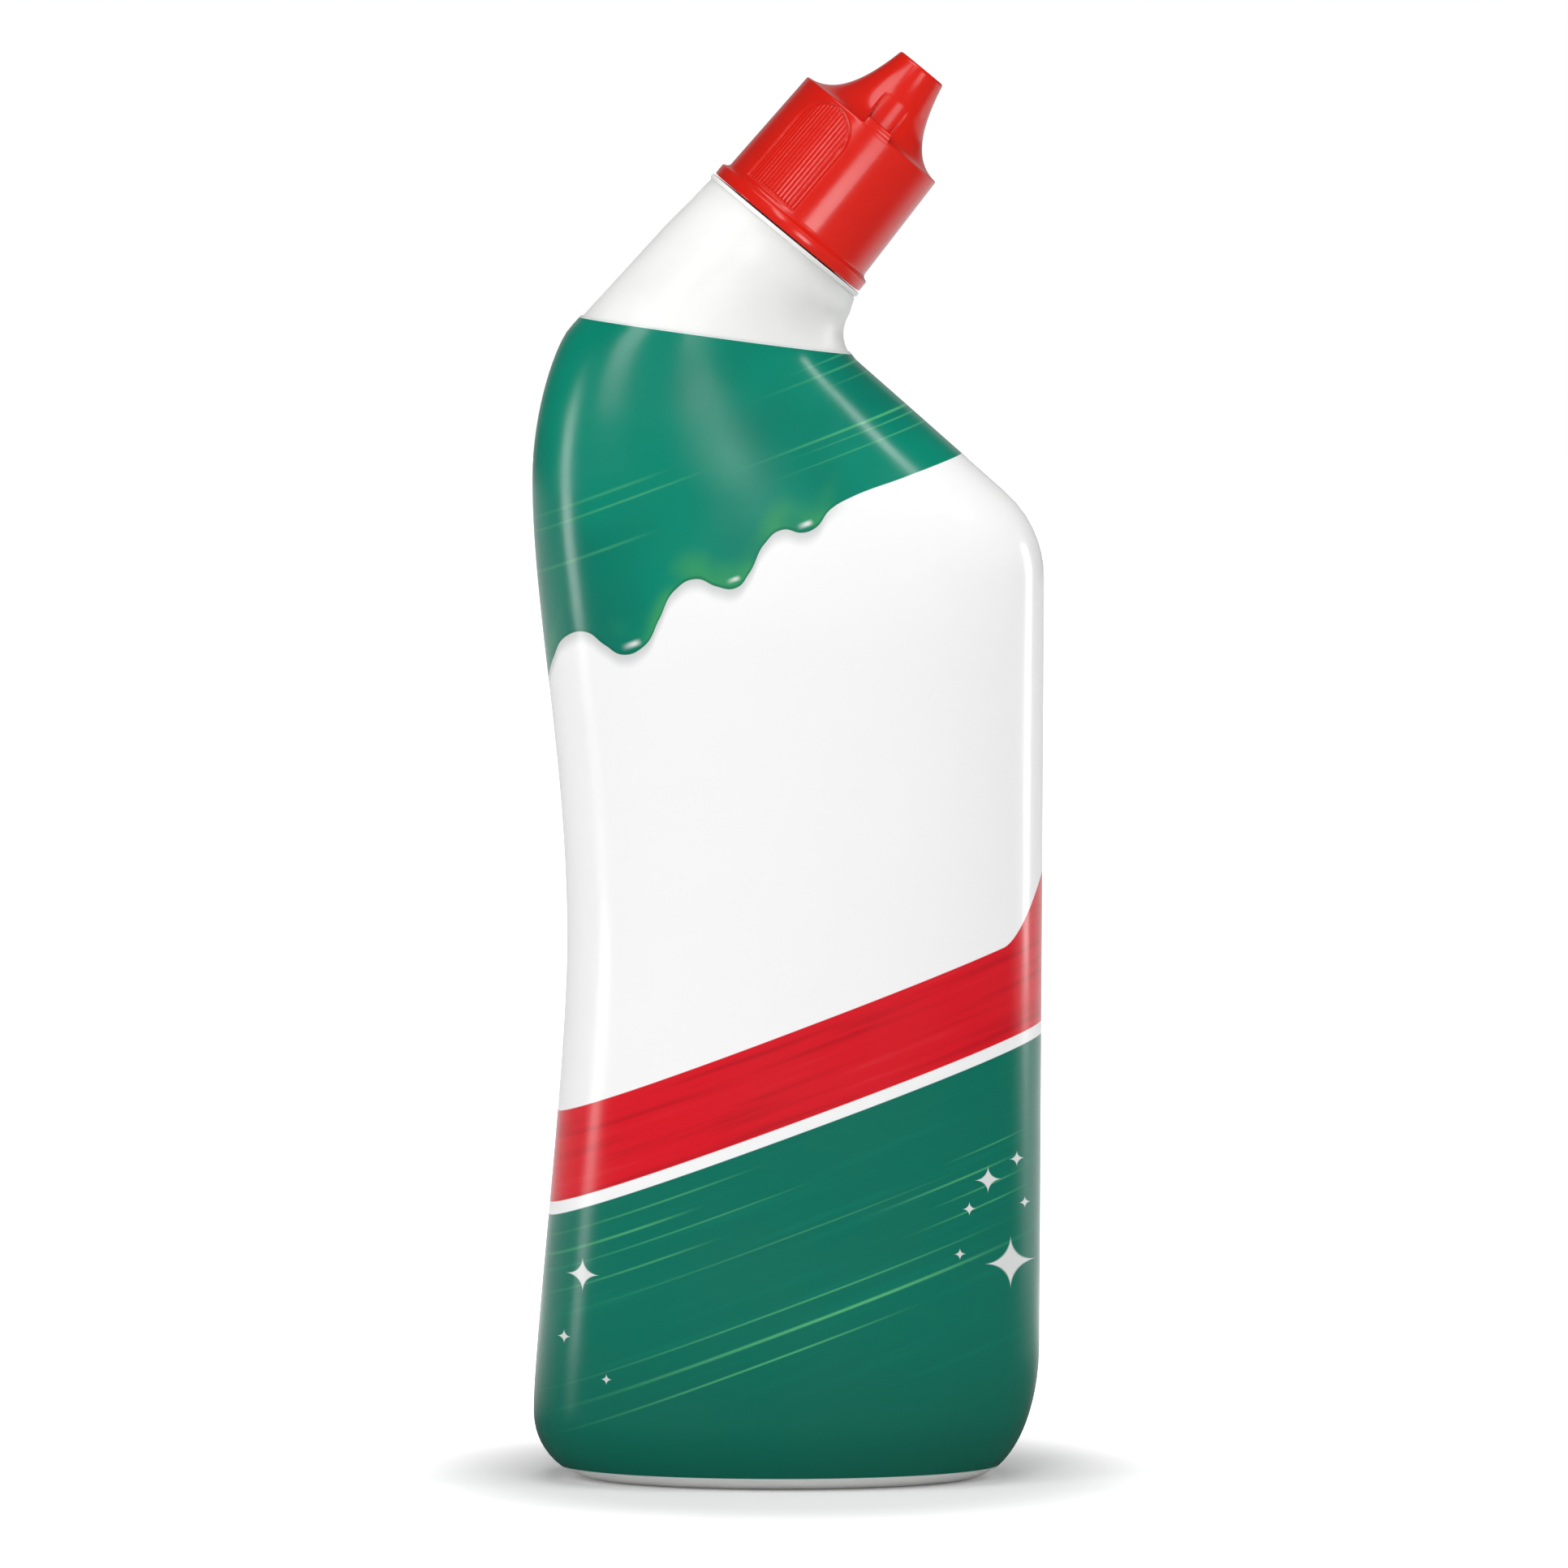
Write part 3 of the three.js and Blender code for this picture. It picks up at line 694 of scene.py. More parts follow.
# A streak of light in the print: a thin line along the band's slope that fades at its ends.
streak_sockets = ("At", "Start", "End", "Width")
streak, streak_in, streak_out = node_group(
    "light streak", dict.fromkeys(("Along", "Off", *streak_sockets), "Float"), ("Mask",),
)
away = maths(streak, "ABSOLUTE", maths(streak, "SUBTRACT", streak_in["Off"], streak_in["At"]))
core = maths(streak, "SUBTRACT", 1, rising(streak, away, 0, streak_in["Width"]))
middle = maths(
    streak, "MULTIPLY_ADD", streak_in["Start"], 0.35,
    maths(streak, "MULTIPLY", streak_in["End"], 0.65),
)
fade_in = rising(streak, streak_in["Along"], streak_in["Start"], middle)
fade_out = rising(streak, streak_in["Along"], streak_in["End"], middle)
streak_mask = maths(streak, "MULTIPLY", core, maths(streak, "MINIMUM", fade_in, fade_out))
streak.links.new(streak_mask, streak_out["Mask"])

# A four-point sparkle.
sparkle_sockets = ("At x", "At z", "Size")
sparkle_power = 0.55
sparkle_blur = 0.12
sparkle, sparkle_in, sparkle_out = node_group(
    "printed sparkle", dict.fromkeys(("X", "Z", *sparkle_sockets), "Float"), ("Mask",),
)
reaches = []
for here, there in (("X", "At x"), ("Z", "At z")):
    away = maths(sparkle, "ABSOLUTE", maths(sparkle, "SUBTRACT", sparkle_in[here], sparkle_in[there]))
    share = maths(sparkle, "DIVIDE", away, sparkle_in["Size"])
    reaches.append(maths(sparkle, "POWER", share, sparkle_power))
inside = maths(sparkle, "SUBTRACT", 1, maths(sparkle, "ADD", *reaches))
sparkle.links.new(rising(sparkle, inside, 0, sparkle_blur), sparkle_out["Mask"])


def printed(mark, spot, sockets, rows):
    """Prints a mark once for each row, which ends with its strength, and keeps the strongest."""
    strongest = 0.0
    for *values, strength in rows:
        group = add_node(
            tree, "ShaderNodeGroup", {**spot, **dict(zip(sockets, values))}, node_tree=mark,
        )
        mask = maths(tree, "MULTIPLY", group.outputs["Mask"], strength)
        strongest = maths(tree, "MAXIMUM", strongest, mask)
    return strongest


def streaks(rows):
    return printed(streak, {"Along": along, "Off": off}, streak_sockets, rows)


upper_streaks = streaks((
    (199.6, 72, 112, 0.34, 0.75), (197.4, 64, 114, 0.4, 0.6), (194.8, 76, 112, 0.3, 0.5),
    (186.2, 56, 114, 0.42, 0.8), (184.6, 66, 112, 0.3, 0.55), (182, 60, 110, 0.3, 0.45),
    (191, 12, 50, 0.5, 0.3), (188.4, 6, 58, 0.4, 0.4), (181, 4, 44, 0.5, 0.3),
))
lower_streaks = streaks((
    (60.8, -36, 20, 0.34, 0.45), (57.4, -40, 6, 0.42, 0.6), (54.6, -40, 30, 0.3, 0.4),
    (50.6, -38, 8, 0.36, 0.45), (46.2, -40, 58, 0.3, 0.3), (33.6, -46, 62, 0.32, 0.6),
    (29.4, -44, 66, 0.5, 0.9), (25.2, -44, 40, 0.34, 0.7), (44.6, 30, 66, 0.36, 0.6),
    (41.4, 42, 66, 0.3, 0.5), (38.2, 36, 66, 0.32, 0.5), (48.4, 48, 68, 0.3, 0.45),
))
stars = printed(sparkle, {"X": x, "Z": z}, sparkle_sockets, (
    (-39.4, 41.2, 3.6, 1), (42.6, 43.4, 5.6, 1), (38.2, 59.6, 2.9, 1), (43.8, 63.2, 1.7, 1),
    (34.6, 54.2, 1.5, 1), (45.4, 54.6, 1.3, 1), (32.8, 45.6, 1.3, 0.9), (-43, 29, 1.5, 0.9),
    (-34.8, 21.4, 1.2, 0.8),
))
drip_lights = streaks((
    (162.3, 26.8, 31.4, 0.9, 0.75), (167.2, 50, 53.4, 0.7, 0.7), (172.2, 66.2, 70, 0.8, 0.8),
))

upper = mixed(tree, rising(tree, print_clouds, 0.35, 0.65), upper_green_deep, upper_green)
upper = mixed(tree, upper_streaks, upper, streak_green)
glow = maths(
    tree, "MULTIPLY", maths(tree, "MULTIPLY", rising(tree, over_edge, 8, 0.5), dripping),
    rising(tree, noise(tree, place, 11, 1), 0.4, 0.62),
)
upper = mixed(tree, maths(tree, "MULTIPLY", glow, 0.55), upper, glow_green)
rim = maths(tree, "MULTIPLY", rising(tree, over_edge, 0.9, 0.1), dripping)
upper = mixed(tree, maths(tree, "MULTIPLY", rim, 0.7), upper, rim_green)
upper = mixed(tree, drip_lights, upper, print_white)

shadow = maths(tree, "MULTIPLY", rising(tree, over_edge, -3.2, 0), dripping)
panel = mixed(tree, maths(tree, "MULTIPLY", shadow, 0.75), print_white, drip_shadow)

red = mixed(tree, rising(tree, brushed, 0.3, 0.5), band_red_deep, band_red)
bright_red = maths(tree, "MULTIPLY", rising(tree, brushed, 0.58, 0.75), 0.6)
red = mixed(tree, bright_red, red, band_red_light)

lower = mixed(tree, rising(tree, z, 2, 40), lower_green_deep, lower_green)
brushing = maths(tree, "MULTIPLY", rising(tree, brushed, 0.52, 0.72), rising(tree, z, 12, 36))
lower = mixed(tree, maths(tree, "MULTIPLY", brushing, 0.25), lower, upper_green)
lower = mixed(tree, lower_streaks, lower, streak_green)
lower = mixed(tree, stars, lower, sparkle_grey)

line_width = 2.4
edge_blur = 0.1
artwork = mixed(tree, rising(tree, over_edge, -edge_blur, edge_blur), panel, upper)
in_red = maths(
    tree, "MULTIPLY", rising(tree, over_band, -edge_blur, edge_blur),
    rising(tree, maths(tree, "SUBTRACT", upper_edge, z), -edge_blur, edge_blur),
)
artwork = mixed(tree, in_red, artwork, red)
under_line = rising(tree, over_band, -line_width + edge_blur, -line_width - edge_blur)
artwork = mixed(tree, under_line, artwork, lower)

# A clear margin is left along the film's slanting top edge and along its foot, painted pale.
# The top one is also a painted highlight, standing in for the light along the film's edge.
top_grip = grip.at(sleeve_top[0])
top_spout = spout.at(sleeve_top[1])
top_run = (top_spout - top_grip) / np.hypot(*(top_spout - top_grip))
top_over = maths(
    tree, "SUBTRACT",
    maths(
        tree, "ADD", maths(tree, "MULTIPLY", x, float(-top_run[1])),
        maths(tree, "MULTIPLY", z, float(top_run[0])),
    ),
    float(-top_run[1] * top_grip[0] + top_run[0] * top_grip[1]),
)
pale_margin_and_edge_highlight = maths(
    tree, "MAXIMUM", rising(tree, top_over, -0.42, -0.3),
    rising(tree, z, sleeve_foot_height + 0.4, sleeve_foot_height + 0.25),
)
# The pale margins go over the print here; the top one is partly a painted highlight.
artwork = mixed(tree, maths(tree, "MULTIPLY", pale_margin_and_edge_highlight, 0.75), artwork, print_white)

# The film's two ends overlap in a glued seam up the back, which stands a little proud.
seam_x = -12
seam_width = 5
from_seam = maths(tree, "ABSOLUTE", maths(tree, "SUBTRACT", x, seam_x))
at_seam = maths(
    tree, "MULTIPLY", rising(tree, y, 2, 4),
    rising(tree, from_seam, seam_width / 2 + 0.15, seam_width / 2),
)
artwork = mixed(tree, maths(tree, "MULTIPLY", at_seam, 0.06), artwork, print_white)
tree.links.new(artwork, shader.inputs["Base Color"])
height = skin_finish(tree, shader, place, None, (0.17, 0.24), (22, 0.16), (1.6, 0.004))
bumped(tree, shader, maths(tree, "MULTIPLY_ADD", at_seam, 0.08, height))

# Nozzle
# A natural polyethylene dripper, pressed into the neck: a plug with two snap beads, a flange
# that rests on the neck's lip, and a tapering spout with a small hole.
seat_gap = 0.3
nozzle_wall = 1
plug_length = 9
flange_inset = 0.3
flange_thickness = 1.2
spout_foot_radius = 6.2
spout_tip_radius = 2.7
spout_length = 21
orifice_radius = 1.5
snap_bead = 0.12

plug_radius = bore_radius - seat_gap
plug_hollow = plug_radius - nozzle_wall
spout_tip = flange_thickness + spout_length
profile = [
    (plug_hollow, -plug_length), (plug_radius - 0.4, -plug_length), (plug_radius, -plug_length + 1),
]
for bead_height in (-5.5, -2.5):
    profile += [
        (plug_radius, bead_height - 0.5), (plug_radius + snap_bead, bead_height),
        (plug_radius, bead_height + 0.5),
    ]
profile += [
    (plug_radius, 0), (finish_radius - flange_inset, 0),
    (finish_radius - flange_inset, flange_thickness), (spout_foot_radius + 1, flange_thickness),
    (spout_foot_radius + 0.3, flange_thickness + 0.3), (spout_foot_radius, flange_thickness + 0.8),
    (spout_tip_radius, spout_tip), (orifice_radius, spout_tip),
    (orifice_radius, spout_tip - 1.8), (spout_foot_radius - nozzle_wall, flange_thickness),
    (plug_hollow, -flange_thickness),
]
nozzle_shell = bmesh.new()
corners = [nozzle_shell.verts.new((r * mm, 0, h * mm)) for r, h in profile]
for here, there in zip(corners, corners[1:] + corners[:1]):
    nozzle_shell.edges.new((here, there))
bmesh.ops.spin(
    nozzle_shell, geom=nozzle_shell.verts[:] + nozzle_shell.edges[:], cent=(0, 0, 0),
    axis=(0, 0, 1), dvec=(0, 0, 0), angle=2 * math.pi, steps=96, use_merge=True,
)
bmesh.ops.recalc_face_normals(nozzle_shell, faces=nozzle_shell.faces)
sharp = [
    edge for edge in nozzle_shell.edges
    if edge.is_manifold and edge.calc_face_angle() > math.radians(40)
]
bmesh.ops.bevel(
    nozzle_shell, geom=sharp, offset=0.18 * mm, segments=2, profile=0.5, affect="EDGES", material=-1,
)
seat = neck_place @ Matrix.Translation((0, 0, (finish_height + seat_gap) * mm))
bmesh.ops.transform(nozzle_shell, matrix=seat, verts=nozzle_shell.verts)
nozzle_piece = made_piece("nozzle_dripper", nozzle_shell)
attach(nozzle_piece, "bottle")
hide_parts("nozzle")
nozzle_white = screen_colour(240, 240, 233)
nozzle_shade = screen_colour(233, 233, 225)
tree, shader, place = plastic(
    nozzle_piece, "natural polyethylene", 0.4, Subsurface_Weight=0.25, Subsurface_Scale=0.002,
)
height = skin_finish(
    tree, shader, place, (nozzle_shade, nozzle_white), (0.36, 0.46), (6, 0.03), (0.5, 0.004),
)
bumped(tree, shader, height)

# Cap
# A red polypropylene squeeze-and-turn cap, one moulding: a beaded skirt with two ribbed pads,
# a trumpet nose notched front and back, and inside it a threaded skirt and a sealing pin.
cap_gap = 1
cap_wall = 1.2
bead_radius = 17.8
bead_height = 1.7
bead_drop = 0.75
skirt_foot_radius = 16.7
rim_radius = 15.9
rim_height = 25.8
nose_length = 15.2
nose_tip_radius = 5.15
flare_reach = 4.4
flare_lift = 0.3
nose_waist = 2.45
nose_waist_height = 3.4
notch_width = 5.7
notch_floor_rise = 1.6
core_foot_radius = 8.8
core_tip_margin = 0.5
sill_inset = 0.1
nose_turn = 3
inner_skirt_wall = 1
inner_skirt_foot = 5.5
thread_clearance = 0.35
cap_thread_height = 0.9
cap_thread_turns = 1.35
cap_thread_root = 0.75
cap_thread_ease = 0.45
seal_pin_length = 1
seal_pin_clearance = 0.4
pad_width = 13
pad_foot_height = 4
pad_top_margin = 0.6
pad_depth = 0.42
rib_count = 15
rib_height = 0.2
cap_lug_reach = 1.5
cap_lug_height = 2.6
lug_clearance = 0.5

notch_half = notch_width / 2
notch_outer = notch_half + 0.45
nose_tip = rim_height + nose_length
notch_floor = rim_height + notch_floor_rise
front_angle = math.radians(-90 + nose_turn)
pad_angle = math.radians(-90 - pad_turn)

# Columns run round the cap from the front notch: across the notch, then the plain side, then
# finely over the next pad. The second half turn repeats the first.
notch_offsets = np.concatenate([
    [-notch_outer, -notch_half - 0.23, -notch_half - 0.08, -notch_half],
    np.linspace(-notch_half + 0.13, notch_half - 0.13, 41),
    [notch_half, notch_half + 0.08, notch_half + 0.23, notch_outer],
])
notch_edge = math.asin(notch_outer / rim_radius)
pad_half = math.radians(25.5)
pad_from_notch = pad_angle + math.pi - front_angle
side_angles = np.concatenate([
    np.linspace(notch_edge, pad_from_notch - pad_half, 46)[1:-1],
    np.linspace(pad_from_notch - pad_half, math.pi - notch_edge, 100)[:-1],
])
half_columns = len(notch_offsets) + len(side_angles)
in_notch = np.tile(np.arange(half_columns) < len(notch_offsets), 2)
offsets = np.tile(np.concatenate([notch_offsets, np.zeros(len(side_angles))]), 2)
spread = np.tile(np.concatenate([
    np.zeros(len(notch_offsets)),
    (side_angles - notch_edge) / (math.pi - 2 * notch_edge),
]), 2)
half_turn = np.repeat([0, math.pi], half_columns)
# 0 on the flare, 1 on the notch's own surface, and between them on the notch's edge.
notch_share = np.interp(np.abs(offsets), [notch_half, notch_half + 0.001], [1.0, 0.0]) * in_notch
edge_rounding = 0.12


def column_angles(radius):
    """The columns' angles where the surface is at a radius: the notch keeps its width."""
    edge_sine = np.minimum(notch_outer / radius, math.sin(math.radians(40)))
    edge_angle = np.arcsin(edge_sine)
    notch_angle = np.arcsin(np.clip(offsets / notch_outer * edge_sine, -1, 1))
    side_angle = edge_angle + spread * (math.pi - 2 * edge_angle)
    return front_angle + half_turn + np.where(in_notch, notch_angle, side_angle)


def cap_ring(radius, height, angles=None):
    radius = np.broadcast_to(np.asarray(radius, float), offsets.shape)
    height = np.broadcast_to(np.asarray(height, float), offsets.shape)
    if angles is None:
        angles = column_angles(radius)
    return np.stack([radius * np.cos(angles), radius * np.sin(angles), height], 1)


skirt_angles = column_angles(np.full(offsets.shape, rim_radius))


def skirt_radius(height):
    return np.interp(height, [cap_gap, rim_height], [skirt_foot_radius, rim_radius])


def pad_sink(height):
    """How far the skirt is sunk at a height, round the cap: the arched pads and their ribs."""
    sink = np.zeros(offsets.shape)
    spring = rim_height - pad_top_margin - pad_width / 2
    radius = skirt_radius(height)
    for side in (0, math.pi):
        off = (skirt_angles - pad_angle - side + math.pi) % (2 * math.pi) - math.pi
        across = np.where(np.abs(off) < 1.2, radius * np.sin(off), 99)
        arched = pad_width / 2 - np.hypot(across, max(0, height - spring))
        inside = np.minimum(arched, height - pad_foot_height)
        rib_pitch = 2 * math.asin(pad_width / 2 / skirt_foot_radius) / (rib_count + 1)
        rib = 0.5 + 0.5 * np.cos(off / rib_pitch * 2 * math.pi)
        rib *= smooth_step(inside, 0.35, 0.8)
        sink = np.maximum(sink, smooth_step(inside, 0, 0.4) * (pad_depth - rib_height * rib))
    return sink


def flare(inset, count):
    """Points up the nose's trumpet line, from the rim to the tip."""
    points = bezier(
        (rim_radius - inset, rim_height - inset),
        (rim_radius - flare_reach - inset, rim_height + flare_lift - inset),
        (nose_tip_radius + nose_waist - inset, rim_height + nose_waist_height - inset),
        (nose_tip_radius - inset, nose_tip - inset),
    )
    line = Outline(points)
    return [line.at(share) for share in np.linspace(0.02, 0.985, count)]


core_slope = (core_foot_radius - nose_tip_radius - core_tip_margin) / (nose_tip - notch_floor)


def core_radius(height):
    """The radius that the nose is cut down to inside its two notches."""
    return core_foot_radius - core_slope * (height - notch_floor)


# Inside, from the sealing pin out to the bead's foot.
pin_radius = orifice_radius - seal_pin_clearance
pin_foot = finish_height + seat_gap + spout_tip - seal_pin_length
inner_radius = finish_radius + thread_height + thread_clearance
inner_outer = inner_radius + inner_skirt_wall
cap_rings = [
    cap_ring(r, h) for r, h in [
        (0.1, pin_foot), (pin_radius - 0.3, pin_foot), (pin_radius, pin_foot + 0.3),
        (pin_radius, nose_tip - cap_wall - 0.6), (pin_radius + 0.4, nose_tip - cap_wall),
    ]
]
for radius, height in flare(cap_wall, 26)[::-1]:
    if radius > inner_radius - 0.6 or height > nose_tip - cap_wall - 0.2:
        continue
    angles = column_angles(np.full(offsets.shape, radius))
    beside = np.abs(radius * np.sin(angles - front_angle))
    walled = 1 - smooth_step(beside, notch_half + cap_wall - 0.3, notch_half + cap_wall + 0.3)
    kept = np.minimum(radius, core_radius(height) - cap_wall)
    cap_rings.append(cap_ring(radius + (kept - radius) * walled, height, angles))
roof = rim_height - cap_wall
cap_rings += [
    cap_ring(inner_radius - 0.2, roof + 0.25, skirt_angles),
    cap_ring(inner_radius, roof, skirt_angles),
]


def cap_thread(height):
    """The inner skirt's radius: its thread's ridge stands between the neck's turns."""
    radius = np.full(offsets.shape, float(inner_radius))
    turned = skirt_angles % (2 * math.pi)
    for lap in range(2):
        wound = turned / (2 * math.pi) + lap
        middle = thread_start + thread_pitch * (wound + 0.5)
        off = np.abs(height - middle)
        ridge = smooth_step(cap_thread_root - off, 0, cap_thread_ease)
        fade = np.clip(np.minimum(wound, cap_thread_turns - wound) * thread_lead_in, 0, 1)
        radius = np.minimum(radius, inner_radius - cap_thread_height * ridge * np.sqrt(fade))
    return radius


cap_rings += [cap_ring(inner_radius, height, skirt_angles) for height in (20, 14.2)]
cap_rings += [
    cap_ring(cap_thread(height), height, skirt_angles)
    for height in np.arange(13.8, inner_skirt_foot + 0.5, -0.3)
]
cap_rings += [
    cap_ring(r, h, skirt_angles) for r, h in [
        (inner_radius, inner_skirt_foot + 0.3), (inner_radius + 0.2, inner_skirt_foot),
        (inner_outer - 0.2, inner_skirt_foot), (inner_outer, inner_skirt_foot + 0.3),
        (inner_outer, roof - 0.2), (inner_outer + 0.1, roof),
        (skirt_radius(roof) - cap_wall, roof - 0.1),
        (skirt_radius(12) - cap_wall, 12), (skirt_radius(6) - cap_wall, 6),
        (skirt_radius(3.6) - cap_wall, cap_gap + cap_lug_height),
        (skirt_radius(2.4) - cap_wall, 2.4), (skirt_radius(1.3) - cap_wall, cap_gap + 0.3),
    ]
]

# Outside, from the bead up the skirt, over the rim and up the nose to the moulding's gate.
bead_top = cap_gap + bead_height
cap_rings += [
    cap_ring(r, h, skirt_angles) for r, h in [
        (skirt_foot_radius - cap_wall + 0.2, cap_gap), (bead_radius - 0.6, cap_gap - bead_drop),
        (bead_radius - 0.1, cap_gap - bead_drop + 0.08), (bead_radius, cap_gap - bead_drop + 0.3),
        (bead_radius, bead_top - 0.35), (bead_radius - 0.1, bead_top - 0.1),
        (bead_radius - 0.35, bead_top), (skirt_radius(3.2) + 0.3, bead_top + 0.25),
        (skirt_radius(3.2) + 0.08, bead_top + 0.55),
    ]
]
skirt_heights = np.concatenate([
    [3.5], np.arange(3.9, 4.9, 0.12), np.linspace(5, 18.4, 9), np.arange(18.7, 25.4, 0.24), [25.45],
])
cap_rings += [
    cap_ring(skirt_radius(height) - pad_sink(height), height, skirt_angles)
    for height in skirt_heights
]
sill_radius = rim_radius - sill_inset
rim_rows = [
    ((rim_radius - 0.02, 25.6), (sill_radius, 25.7)),
    ((rim_radius - 0.09, 25.72), (sill_radius, 26.4)),
    ((rim_radius - 0.22, 25.8), (sill_radius, notch_floor - 0.25)),
    ((rim_radius - 0.4, 25.84), (sill_radius - 0.08, notch_floor - 0.08)),
    ((rim_radius - 0.6, 25.86), (sill_radius - 0.25, notch_floor)),
]
for radius, height in flare(0, 60):
    if radius > rim_radius - 0.7:
        continue
    if height < notch_floor:
        rim_rows.append(((radius, height), (radius, notch_floor)))
    else:
        rim_rows.append(((radius, height), (min(radius, core_radius(height)), height)))
for outer, inner in rim_rows:
    apart = math.hypot(outer[0] - inner[0], outer[1] - inner[1])
    soft = min(0.35, edge_rounding / max(apart, 1e-6))
    share = notch_share.copy()
    share[np.isclose(np.abs(offsets), notch_half + 0.08)] = soft
    share[np.isclose(np.abs(offsets), notch_half)] = 1 - soft
    radius = outer[0] + (inner[0] - outer[0]) * share
    height = outer[1] + (inner[1] - outer[1]) * share
    cap_rings.append(cap_ring(radius, height))
cap_rings += [
    cap_ring(r, h) for r, h in [
        (nose_tip_radius - 0.02, nose_tip - 0.25), (nose_tip_radius - 0.1, nose_tip - 0.09),
        (nose_tip_radius - 0.3, nose_tip), (3.4, nose_tip), (1.7, nose_tip),
        (1.5, nose_tip - 0.2), (0.6, nose_tip - 0.22), (0.45, nose_tip - 0.08), (0.1, nose_tip - 0.06),
    ]
]

cap_shell, cap_loops = lofted(cap_rings)
for end in (cap_loops[0], cap_loops[-1]):
    bmesh.ops.contextual_create(cap_shell, geom=end)

# Two lugs stand in from the skirt's foot. They catch the neck's until the pads are squeezed.
cap_lug_turn = (lug_width + lug_clearance) / finish_radius
for side in (0, math.pi):
    raise_lug(
        cap_shell, Matrix(), math.radians(lug_angle) + cap_lug_turn + side,
        skirt_foot_radius - cap_wall, (cap_gap + 0.3, cap_gap + cap_lug_height), -cap_lug_reach,
    )

bmesh.ops.transform(cap_shell, matrix=neck_place, verts=cap_shell.verts)
cap_piece = made_piece("cap_moulded", cap_shell, 50)
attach(cap_piece, "cap")
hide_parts("cap")
cap_red = screen_colour(214, 30, 17)
cap_red_deep = screen_colour(210, 28, 17)
tree, shader, place = plastic(cap_piece, "red moulded polypropylene", 0.26)
height = skin_finish(
    tree, shader, place, (cap_red_deep, cap_red), (0.17, 0.2), (14, 0.012), (0.6, 0.003),
)
bumped(tree, shader, height)

# Studio
# A white floor in a white studio. The camera sees both as plain white, and the floor keeps the
# bottle's soft shadow close round its foot.
floor_shell = bmesh.new()
bmesh.ops.create_grid(floor_shell, x_segments=1, y_segments=1, size=6)
floor = made_piece("floor", floor_shell)
tree, shader, place = plastic(floor, "white floor", 0.9, Specular_IOR_Level=0.0)
shader.inputs["Emission Color"].default_value = (1, 1, 1, 1)
sight = add_node(tree, "ShaderNodeLightPath", {}).outputs
seen = maths(
    tree, "MAXIMUM", sight["Is Camera Ray"],
    maths(tree, "MAXIMUM", sight["Is Glossy Ray"], sight["Is Transmission Ray"]),
)
from_bottle = add_node(tree, "ShaderNodeVectorMath", {0: place}, operation="LENGTH").outputs["Value"]
far_off = rising(tree, from_bottle, 0.045, 0.11)
floor_lift = 0.13
dimmed_cut = 0.92
glossy_cut = 0.65
strength = maths(tree, "MULTIPLY_ADD", far_off, 1 - floor_lift, floor_lift)
strength = maths(tree, "MULTIPLY", seen, strength)
in_front = rising(tree, add_node(tree, "ShaderNodeSeparateXYZ", {0: place}).outputs["Y"], 0.3, 0)
dimmed = maths(tree, "MULTIPLY", in_front, sight["Is Glossy Ray"])
floor_white = screen_colour(226, 226, 226)
floor_dim = screen_colour(90, 90, 90)
tree.links.new(mixed(tree, dimmed, floor_white, floor_dim), shader.inputs["Base Color"])
lit = maths(tree, "MULTIPLY", strength, maths(tree, "MULTIPLY_ADD", dimmed, -dimmed_cut, 1))
lit = maths(tree, "MULTIPLY", lit, maths(tree, "MULTIPLY_ADD", sight["Is Glossy Ray"], -glossy_cut, 1))
tree.links.new(lit, shader.inputs["Emission Strength"])

# The studio is white behind the bottle, bright in front of it and dimmer to its sides.
world = bpy.data.worlds.new("studio")
world.use_nodes = True
bpy.context.scene.world = world
tree = world.node_tree
sight = add_node(tree, "ShaderNodeLightPath", {}).outputs
facing = add_node(tree, "ShaderNodeTexCoord", {}).outputs["Generated"]
facing_x, facing_y = add_node(tree, "ShaderNodeSeparateXYZ", {0: facing}).outputs[:2]
side_fill = 0.16
front_fill = 0.7
back_fill = 0.4
right_fill = 0.1
fill = maths(
    tree, "MULTIPLY_ADD", rising(tree, facing_y, 0.3, -1), front_fill - side_fill, side_fill,
)
fill = maths(tree, "MULTIPLY_ADD", rising(tree, facing_y, 0.4, 0.9), back_fill - side_fill, fill)
fill = maths(tree, "MULTIPLY_ADD", facing_x, right_fill, fill)
behind = rising(tree, facing_y, 0.75, 0.95)
gloss_fill = 0.06
back_gloss = 0.32
mirrored = maths(tree, "MULTIPLY_ADD", behind, back_gloss - gloss_fill, gloss_fill)
glossy = maths(tree, "MAXIMUM", sight["Is Glossy Ray"], sight["Is Transmission Ray"])
strength = add_node(tree, "ShaderNodeMix", {0: glossy, 2: fill, 3: mirrored}).outputs[0]
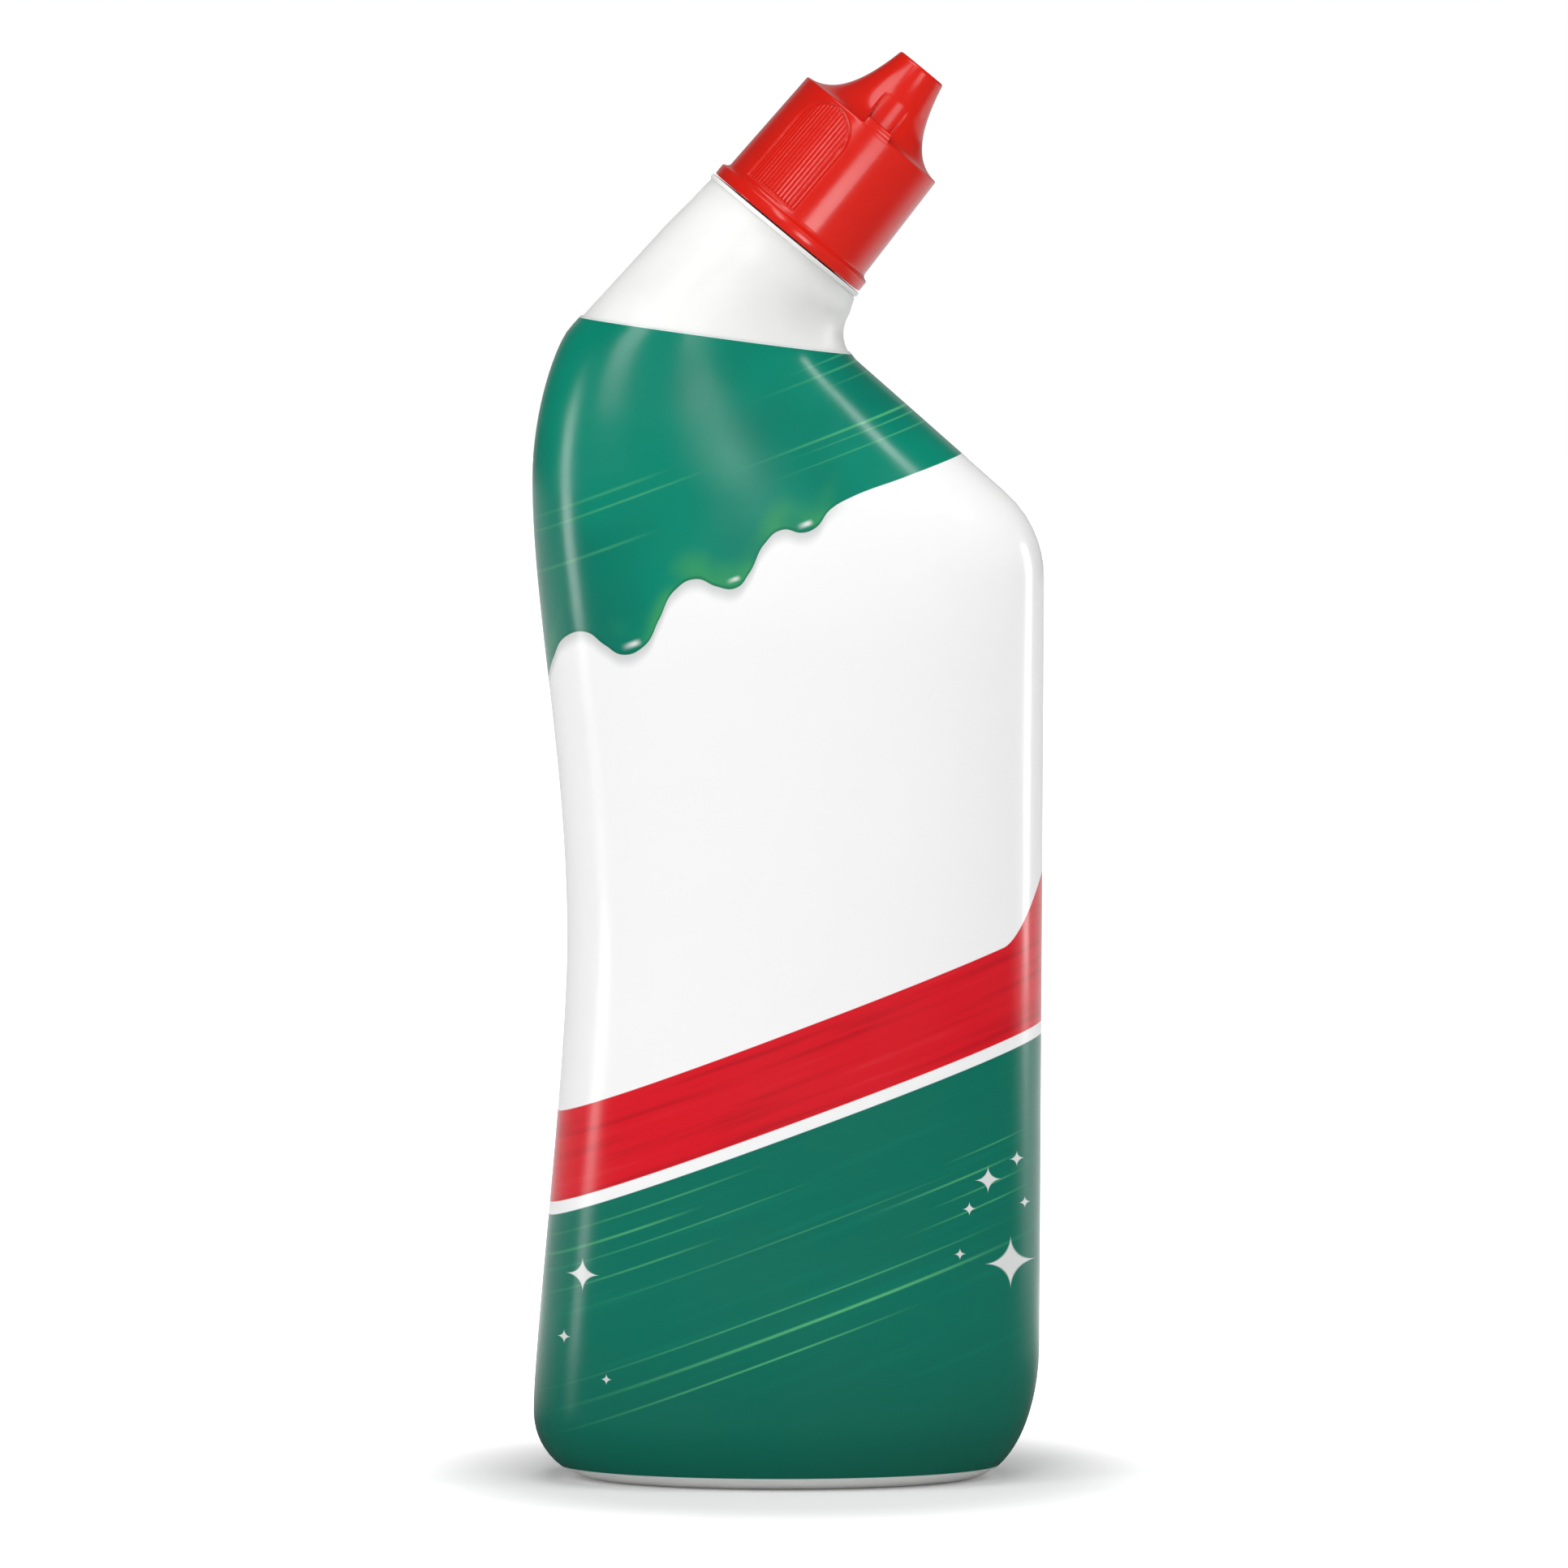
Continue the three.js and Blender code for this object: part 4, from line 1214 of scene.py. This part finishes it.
strength = add_node(tree, "ShaderNodeMix", {0: sight["Is Camera Ray"], 2: strength, 3: 1.0}).outputs[0]
tree.links.new(strength, tree.nodes["Background"].inputs["Strength"])
tree.nodes["Background"].inputs["Color"].default_value = (1, 1, 1, 1)


def only(name, *pieces):
    """A collection of the pieces that a lamp lights."""
    collection = bpy.data.collections.new(name)
    for piece in pieces:
        collection.objects.link(piece)
    return collection


# Each lamp: where it stands, how wide and high it is, in metres, its watts, and the pieces it
# lights if not all. The cap's own lamps are turned along the neck.
cap_only = only("cap lamps", cap_piece)
body_only = only("body lamps", bottle_piece, sleeve_piece, floor)
lamps = {
    "overhead": ((0.1, -0.75, 1.9), 1.5, 1.1, 16, None),
    "front": ((-0.24, -1.6, 1.02), 0.42, 0.7, 4.2, None),
    "left_front": ((-1.25, -1.0, 1.02), 0.5, 0.8, 4.6, body_only),
    "right_top": ((1.07, -0.37, 1.34), 0.2, 0.5, 2.2, body_only),
    "left_strip": ((-1.2, -0.15, 0.12), 0.2, 0.8, 3.2, None),
    "right_strip": ((1.15, 0.5, 0.12), 0.22, 0.8, 3.6, body_only),
    "cap_strip": ((0.13, -0.5, 0.125), 0.19, 0.12, 0.5, cap_only),
    "nose_strip": ((0.308, -0.5, 0.34), 0.17, 0.12, 0.22, cap_only),
}
cap_middle = neck_place @ Vector((0, 0, 14 * mm))
neck_up = neck_place.to_3x3().col[2]
for name, (spot, width, tall, watts, lit_pieces) in lamps.items():
    data = bpy.data.lights.new(name, "AREA")
    data.shape = "RECTANGLE"
    data.size = width
    data.size_y = tall
    data.energy = watts
    lamp = bpy.data.objects.new(name, data)
    lamp.location = spot
    lamp.rotation_euler = (view_target - lamp.location).to_track_quat("-Z", "Y").to_euler()
    if lit_pieces == cap_only:
        away = (lamp.location - cap_middle).normalized()
        up = (neck_up - neck_up.project(away)).normalized()
        lamp.rotation_euler = Matrix((up.cross(away), up, away)).transposed().to_euler()
    if lit_pieces:
        lamp.light_linking.receiver_collection = lit_pieces
    lamp.visible_camera = False
    bpy.context.scene.collection.objects.link(lamp)
